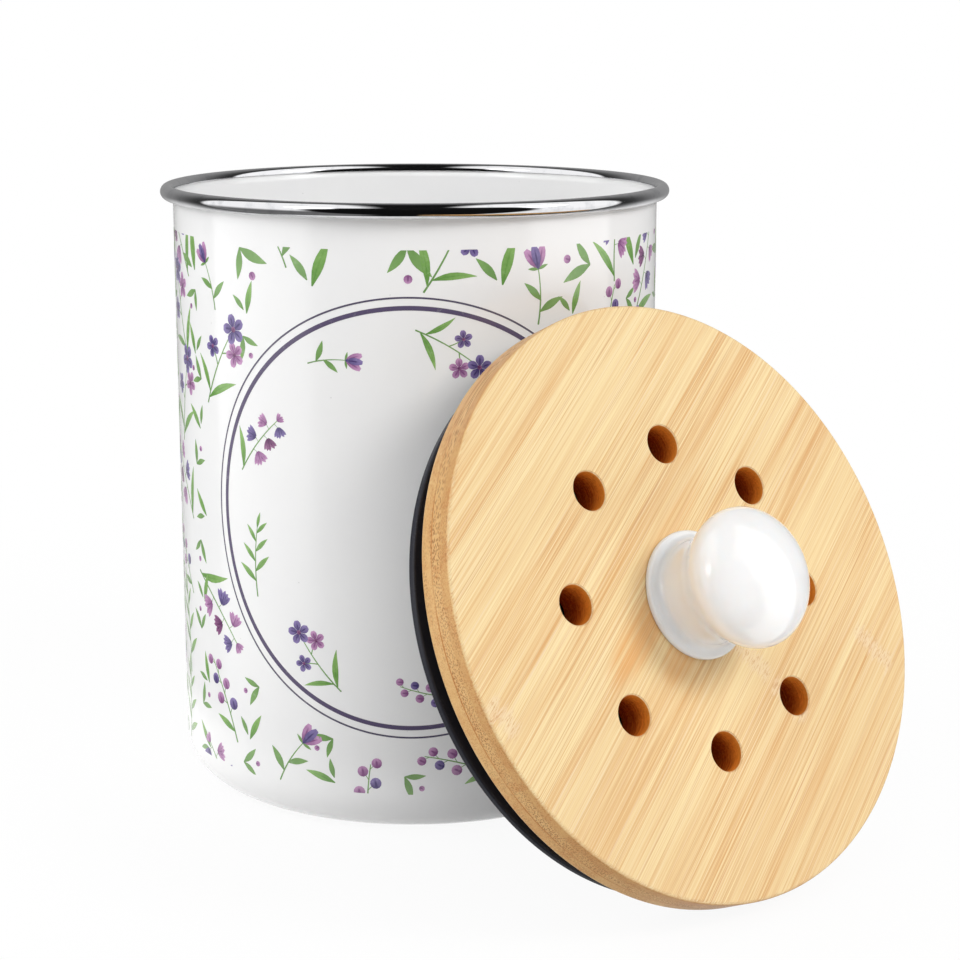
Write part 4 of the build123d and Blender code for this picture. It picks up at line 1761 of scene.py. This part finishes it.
@dataclass
class FilterCartridge:
    """Push-fit cup with a grille floor and a pull tab, holding the charcoal pad."""

    radius: float = 62.2
    front: float = 22.4
    back: float = 30.4
    wall: float = 1.5
    floor: float = 1.6
    slot_first: float = 15.5
    slot_pitch: float = 9.0
    slot_width: float = 5.0
    slots: int = 5
    spoke: float = 3.0
    tab: Triple = (20.0, 2.4, 7.0)
    pad_radius: float = 60.4
    pad_front: float = 22.8
    pad_back: float = 28.8

    def cup(self) -> None:
        """Turn the cup, cut its grille and add the tab."""
        inside, inner_floor = self.radius - self.wall, -self.back + self.floor
        lip = 0.3
        section = [
            (0, -self.back), *arc((self.radius - lip, -self.back + lip), lip, -90, 90, 3),
            (self.radius, -self.front), (inside, -self.front), (inside, inner_floor), (0, inner_floor),
        ]
        piece = turned("filter_cup_shell", section, 200, closed=False)
        bar = (2 * self.radius, self.spoke, 4 * self.floor)
        bars = [box("bar", bar, -self.back + self.floor / 2, 45 * k) for k in range(4)]
        for k in range(self.slots):
            near = self.slot_first + k * self.slot_pitch
            far = near + self.slot_width
            top, bottom = inner_floor + 1, -self.back - 1
            ring = turned("slot_cutter", [(near, top), (far, top), (far, bottom), (near, bottom)], 160)
            for kept in bars:
                boolean(ring, kept)
            cut(piece, ring)
        scrap(*bars)
        height = self.tab[2]
        grip = box("grip", self.tab, -self.back - height / 2)
        edit(grip)
        low = (-self.back - height) * MM
        pick(grip, lambda corner: corner.co.z < low + 1e-5)
        bpy.ops.mesh.select_mode(type="EDGE")
        bpy.ops.mesh.bevel(offset=0.9 * MM, segments=4, affect="EDGES")
        close()
        boolean(piece, grip, "UNION")
        scrap(grip)
        smooth(piece)
        Moulding((20, 20, 22), 0.46).on(piece)
        hand_over(piece, Body.FILTER, "black_moulding", "filter_cup")

    def pad(self) -> None:
        """Shape the felt pad: flat on the grille, crowned towards the vents, its rim pulled in."""
        edge, crown, soft = 1.4, 0.3, 2.1
        rows = [(0, -self.pad_back), (20, -self.pad_back), (40, -self.pad_back), (52, -self.pad_back),
                *arc((self.pad_radius - edge, -self.pad_back + edge), edge, -90, 90, 4),
                *arc((self.pad_radius - soft, -self.pad_front - soft - crown), soft, 0, 90, 5)]
        rows += [(r, -self.pad_front - crown * (r / self.pad_radius) ** 2) for r in (50, 40, 30, 20, 10, 0)]
        piece = turned("charcoal_pad", rows, 120, closed=False)
        edit(piece)
        bpy.ops.mesh.subdivide(number_cuts=1, smoothness=0.0)
        close()
        texture = bpy.data.textures.new("felt_lumps", "CLOUDS")
        texture.noise_scale = 0.006
        apply_modifier(piece, "DISPLACE", texture=texture, strength=0.0003, mid_level=1.0)
        smooth(piece, 60)
        CarbonFelt().on(piece)
        hand_over(piece, Body.FILTER, "carbon_felt", "charcoal_filter")

    def build(self) -> None:
        """Build the cup and the pad in it."""
        self.cup()
        self.pad()


@dataclass
class Studio:
    """Pale floor, soft boxes, a light tent seen in gloss, and the camera."""

    lens: float = 82.21
    camera_at: Triple = (0.02359, -0.80596, 0.28415)
    pitch: float = 12.31
    aim: Triple = (0.02, -0.04, 0.11)
    sparkle: float = 2.5
    sparkles: tuple[Triple, ...] = ((0.78, -0.36, 0.51), (-0.663, -0.571, 0.484))
    panels: tuple[tuple[float, float, float, float, float], ...] = (
        (0, 45, 0.4, 0.8, 1.2), (0, 45, 0.82, 0.97, 1.9), (180, 45, 0.4, 0.8, 1.6),
        (180, 60, 0.0, 0.4, 1.45), (-90, 45, 0.4, 0.8, 1.05), (90, 45, 0.4, 0.8, 0.85),
        (52, 22, 0.0, 0.4, 0.36), (-97, 23, 0.0, 0.4, 0.35),
    )
    walls: tuple[tuple[float, float, float, float, float], ...] = (
        (-1, -0.66, 0.28, 1.15, 0.14), (1, -0.55, 0.235, 1.2, 0.9),
    )
    lamps: tuple[tuple[str, float, float, float, float, float], ...] = (
        ("left_wall", -85, 22, 1.5, 1.1, 0.42), ("left_lamp", -46, 37, 1.6, 0.5, 0.06),
        ("right_lamp", 58, 35, 1.6, 0.5, 0.41),
    )

    def floor(self) -> None:
        """Lay the pale floor, which shows white with a faint shadow."""
        piece = started("studio_floor", bpy.ops.mesh.primitive_plane_add, size=6.0)
        material = bpy.data.materials.new("floor_paper")
        material.use_nodes = True
        graph = Graph(material.node_tree)
        place = graph.coordinate("Object")
        camera, glossy, through = graph.rays()
        away = graph.vector("LENGTH", graph.vector("SUBTRACT", place, (0.03, -0.05, 0.0)))
        share = camera.or_more(through).or_more(glossy) * away.eased(0.3, 0.6, 0.93, 1.0)
        paper = graph.get("BsdfDiffuse", linear((240, 240, 240)))
        both = graph.get("MixShader", share, paper, graph.get("Emission", None, 1.0))
        # Gloss sees the floor only where it is near the caddy, and the tent beyond
        beyond = glossy * graph.vector("LENGTH", place).eased(0.13, 0.18, 0, 1)
        graph.add("OutputMaterial", graph.get("MixShader", beyond, both, graph.get("BsdfTransparent")))
        piece.data.materials.append(material)

    def tent(self) -> None:
        """Paint the light tent: white to the camera, with panels that the caddy sees."""
        world = bpy.data.worlds.new("light_tent")
        world.use_nodes = True
        bpy.context.scene.world = world
        graph = Graph(world.node_tree)
        way = graph.coordinate("Generated")
        x, y, z = graph.split(way)
        turn = graph.maths("ARCTAN2", x, y * -1.0)
        # In gloss: a dim wall behind the caddy, a wall on each side, and the lamps as sparkles
        level = y.eased(0.3, 0.95, 0.03, 0.3) * z.eased(-0.5, -0.1, 3.2, 1) * y.eased(0.1, 0.3, 0, 1) + 0.006
        for side, near, far, bright, under in self.walls:
            wall = y.eased(near - 0.06, near + 0.06, 0, bright) * y.eased(far - 0.04, far + 0.04, 1, 0)
            level += wall * (x * side).eased(0.16, 0.34, 0, 1) * z.eased(-0.45, -0.02, under, 1)
        for spot in self.sparkles:
            level += graph.vector("DOT_PRODUCT", way, spot).eased(0.975, 0.996, 0, self.sparkle)
        # For dull surfaces: panels, each given by its middle and half width in degrees and by its heights
        dull: object = 0.0
        for middle, half, low, high, bright in self.panels:
            off = abs(turn - math.radians(middle))
            off = graph.maths("MINIMUM", off, abs(math.tau - off))
            lit = off.eased(math.radians(half - 8), math.radians(half + 8), bright, 0)
            dull += lit * z.eased(low - 0.1, low + 0.1, 0, 1) * z.eased(high - 0.1, high + 0.1, 1, 0)
        camera, glossy, through = graph.rays()
        clear = camera.or_more(through)
        shown = glossy * level + (1.0 - glossy) * dull
        graph.add("OutputWorld", graph.get("Background", (1, 1, 1, 1), shown * (1.0 - clear) + clear))

    def soft_box(self, name: str, turn: float, rise: float, away: float, size: float, level: float) -> None:
        """Hang a square soft box that faces the caddy.

        Args:
            name: of the lamp.
            turn: degrees to the right of the camera's side.
            rise: degrees above the floor.
            away: distance from the caddy in metres.
            size: of its side.
            level: how bright it makes a white surface that faces it, from 0 to 1.
        """
        a, e = math.radians(turn), math.radians(rise)
        way = Vector((math.sin(a) * math.cos(e), -math.cos(a) * math.cos(e), math.sin(e)))
        bpy.ops.object.light_add(type="AREA", location=Vector(self.aim) + way * away)
        lamp = bpy.context.object
        lamp.name = name
        lamp.rotation_mode = "QUATERNION"
        lamp.rotation_quaternion = (-way).to_track_quat("-Z", "Y")
        lamp.data.shape = "SQUARE"
        lamp.data.size = size
        lamp.data.energy = level * (math.pi * away) ** 2
        lamp.visible_glossy = False

    def camera(self) -> None:
        """Set up the camera of the photograph."""
        bpy.ops.object.camera_add(location=self.camera_at, rotation=(math.radians(90 - self.pitch), 0, 0))
        camera = bpy.context.object
        camera.data.lens = self.lens
        camera.data.sensor_width = 36.0
        camera.data.clip_start = 0.05
        bpy.context.scene.camera = camera

    def build(self) -> None:
        """Set up the whole studio."""
        clear_selection()
        self.floor()
        self.tent()
        for lamp in self.lamps:
            self.soft_box(*lamp)
        self.camera()
        bpy.context.scene.view_settings.view_transform = "Standard"


def main() -> None:
    """Build the caddy piece by piece, then the studio round it."""
    logging.basicConfig(level=logging.INFO, format="%(message)s")
    for part in (Bin(), Pattern(), BambooLid(), Knob(), FilterHousing(), FilterCartridge(), Studio()):
        part.build()
        log.info("%s is ready", type(part).__name__)


if __name__ == "__main__":
    main()
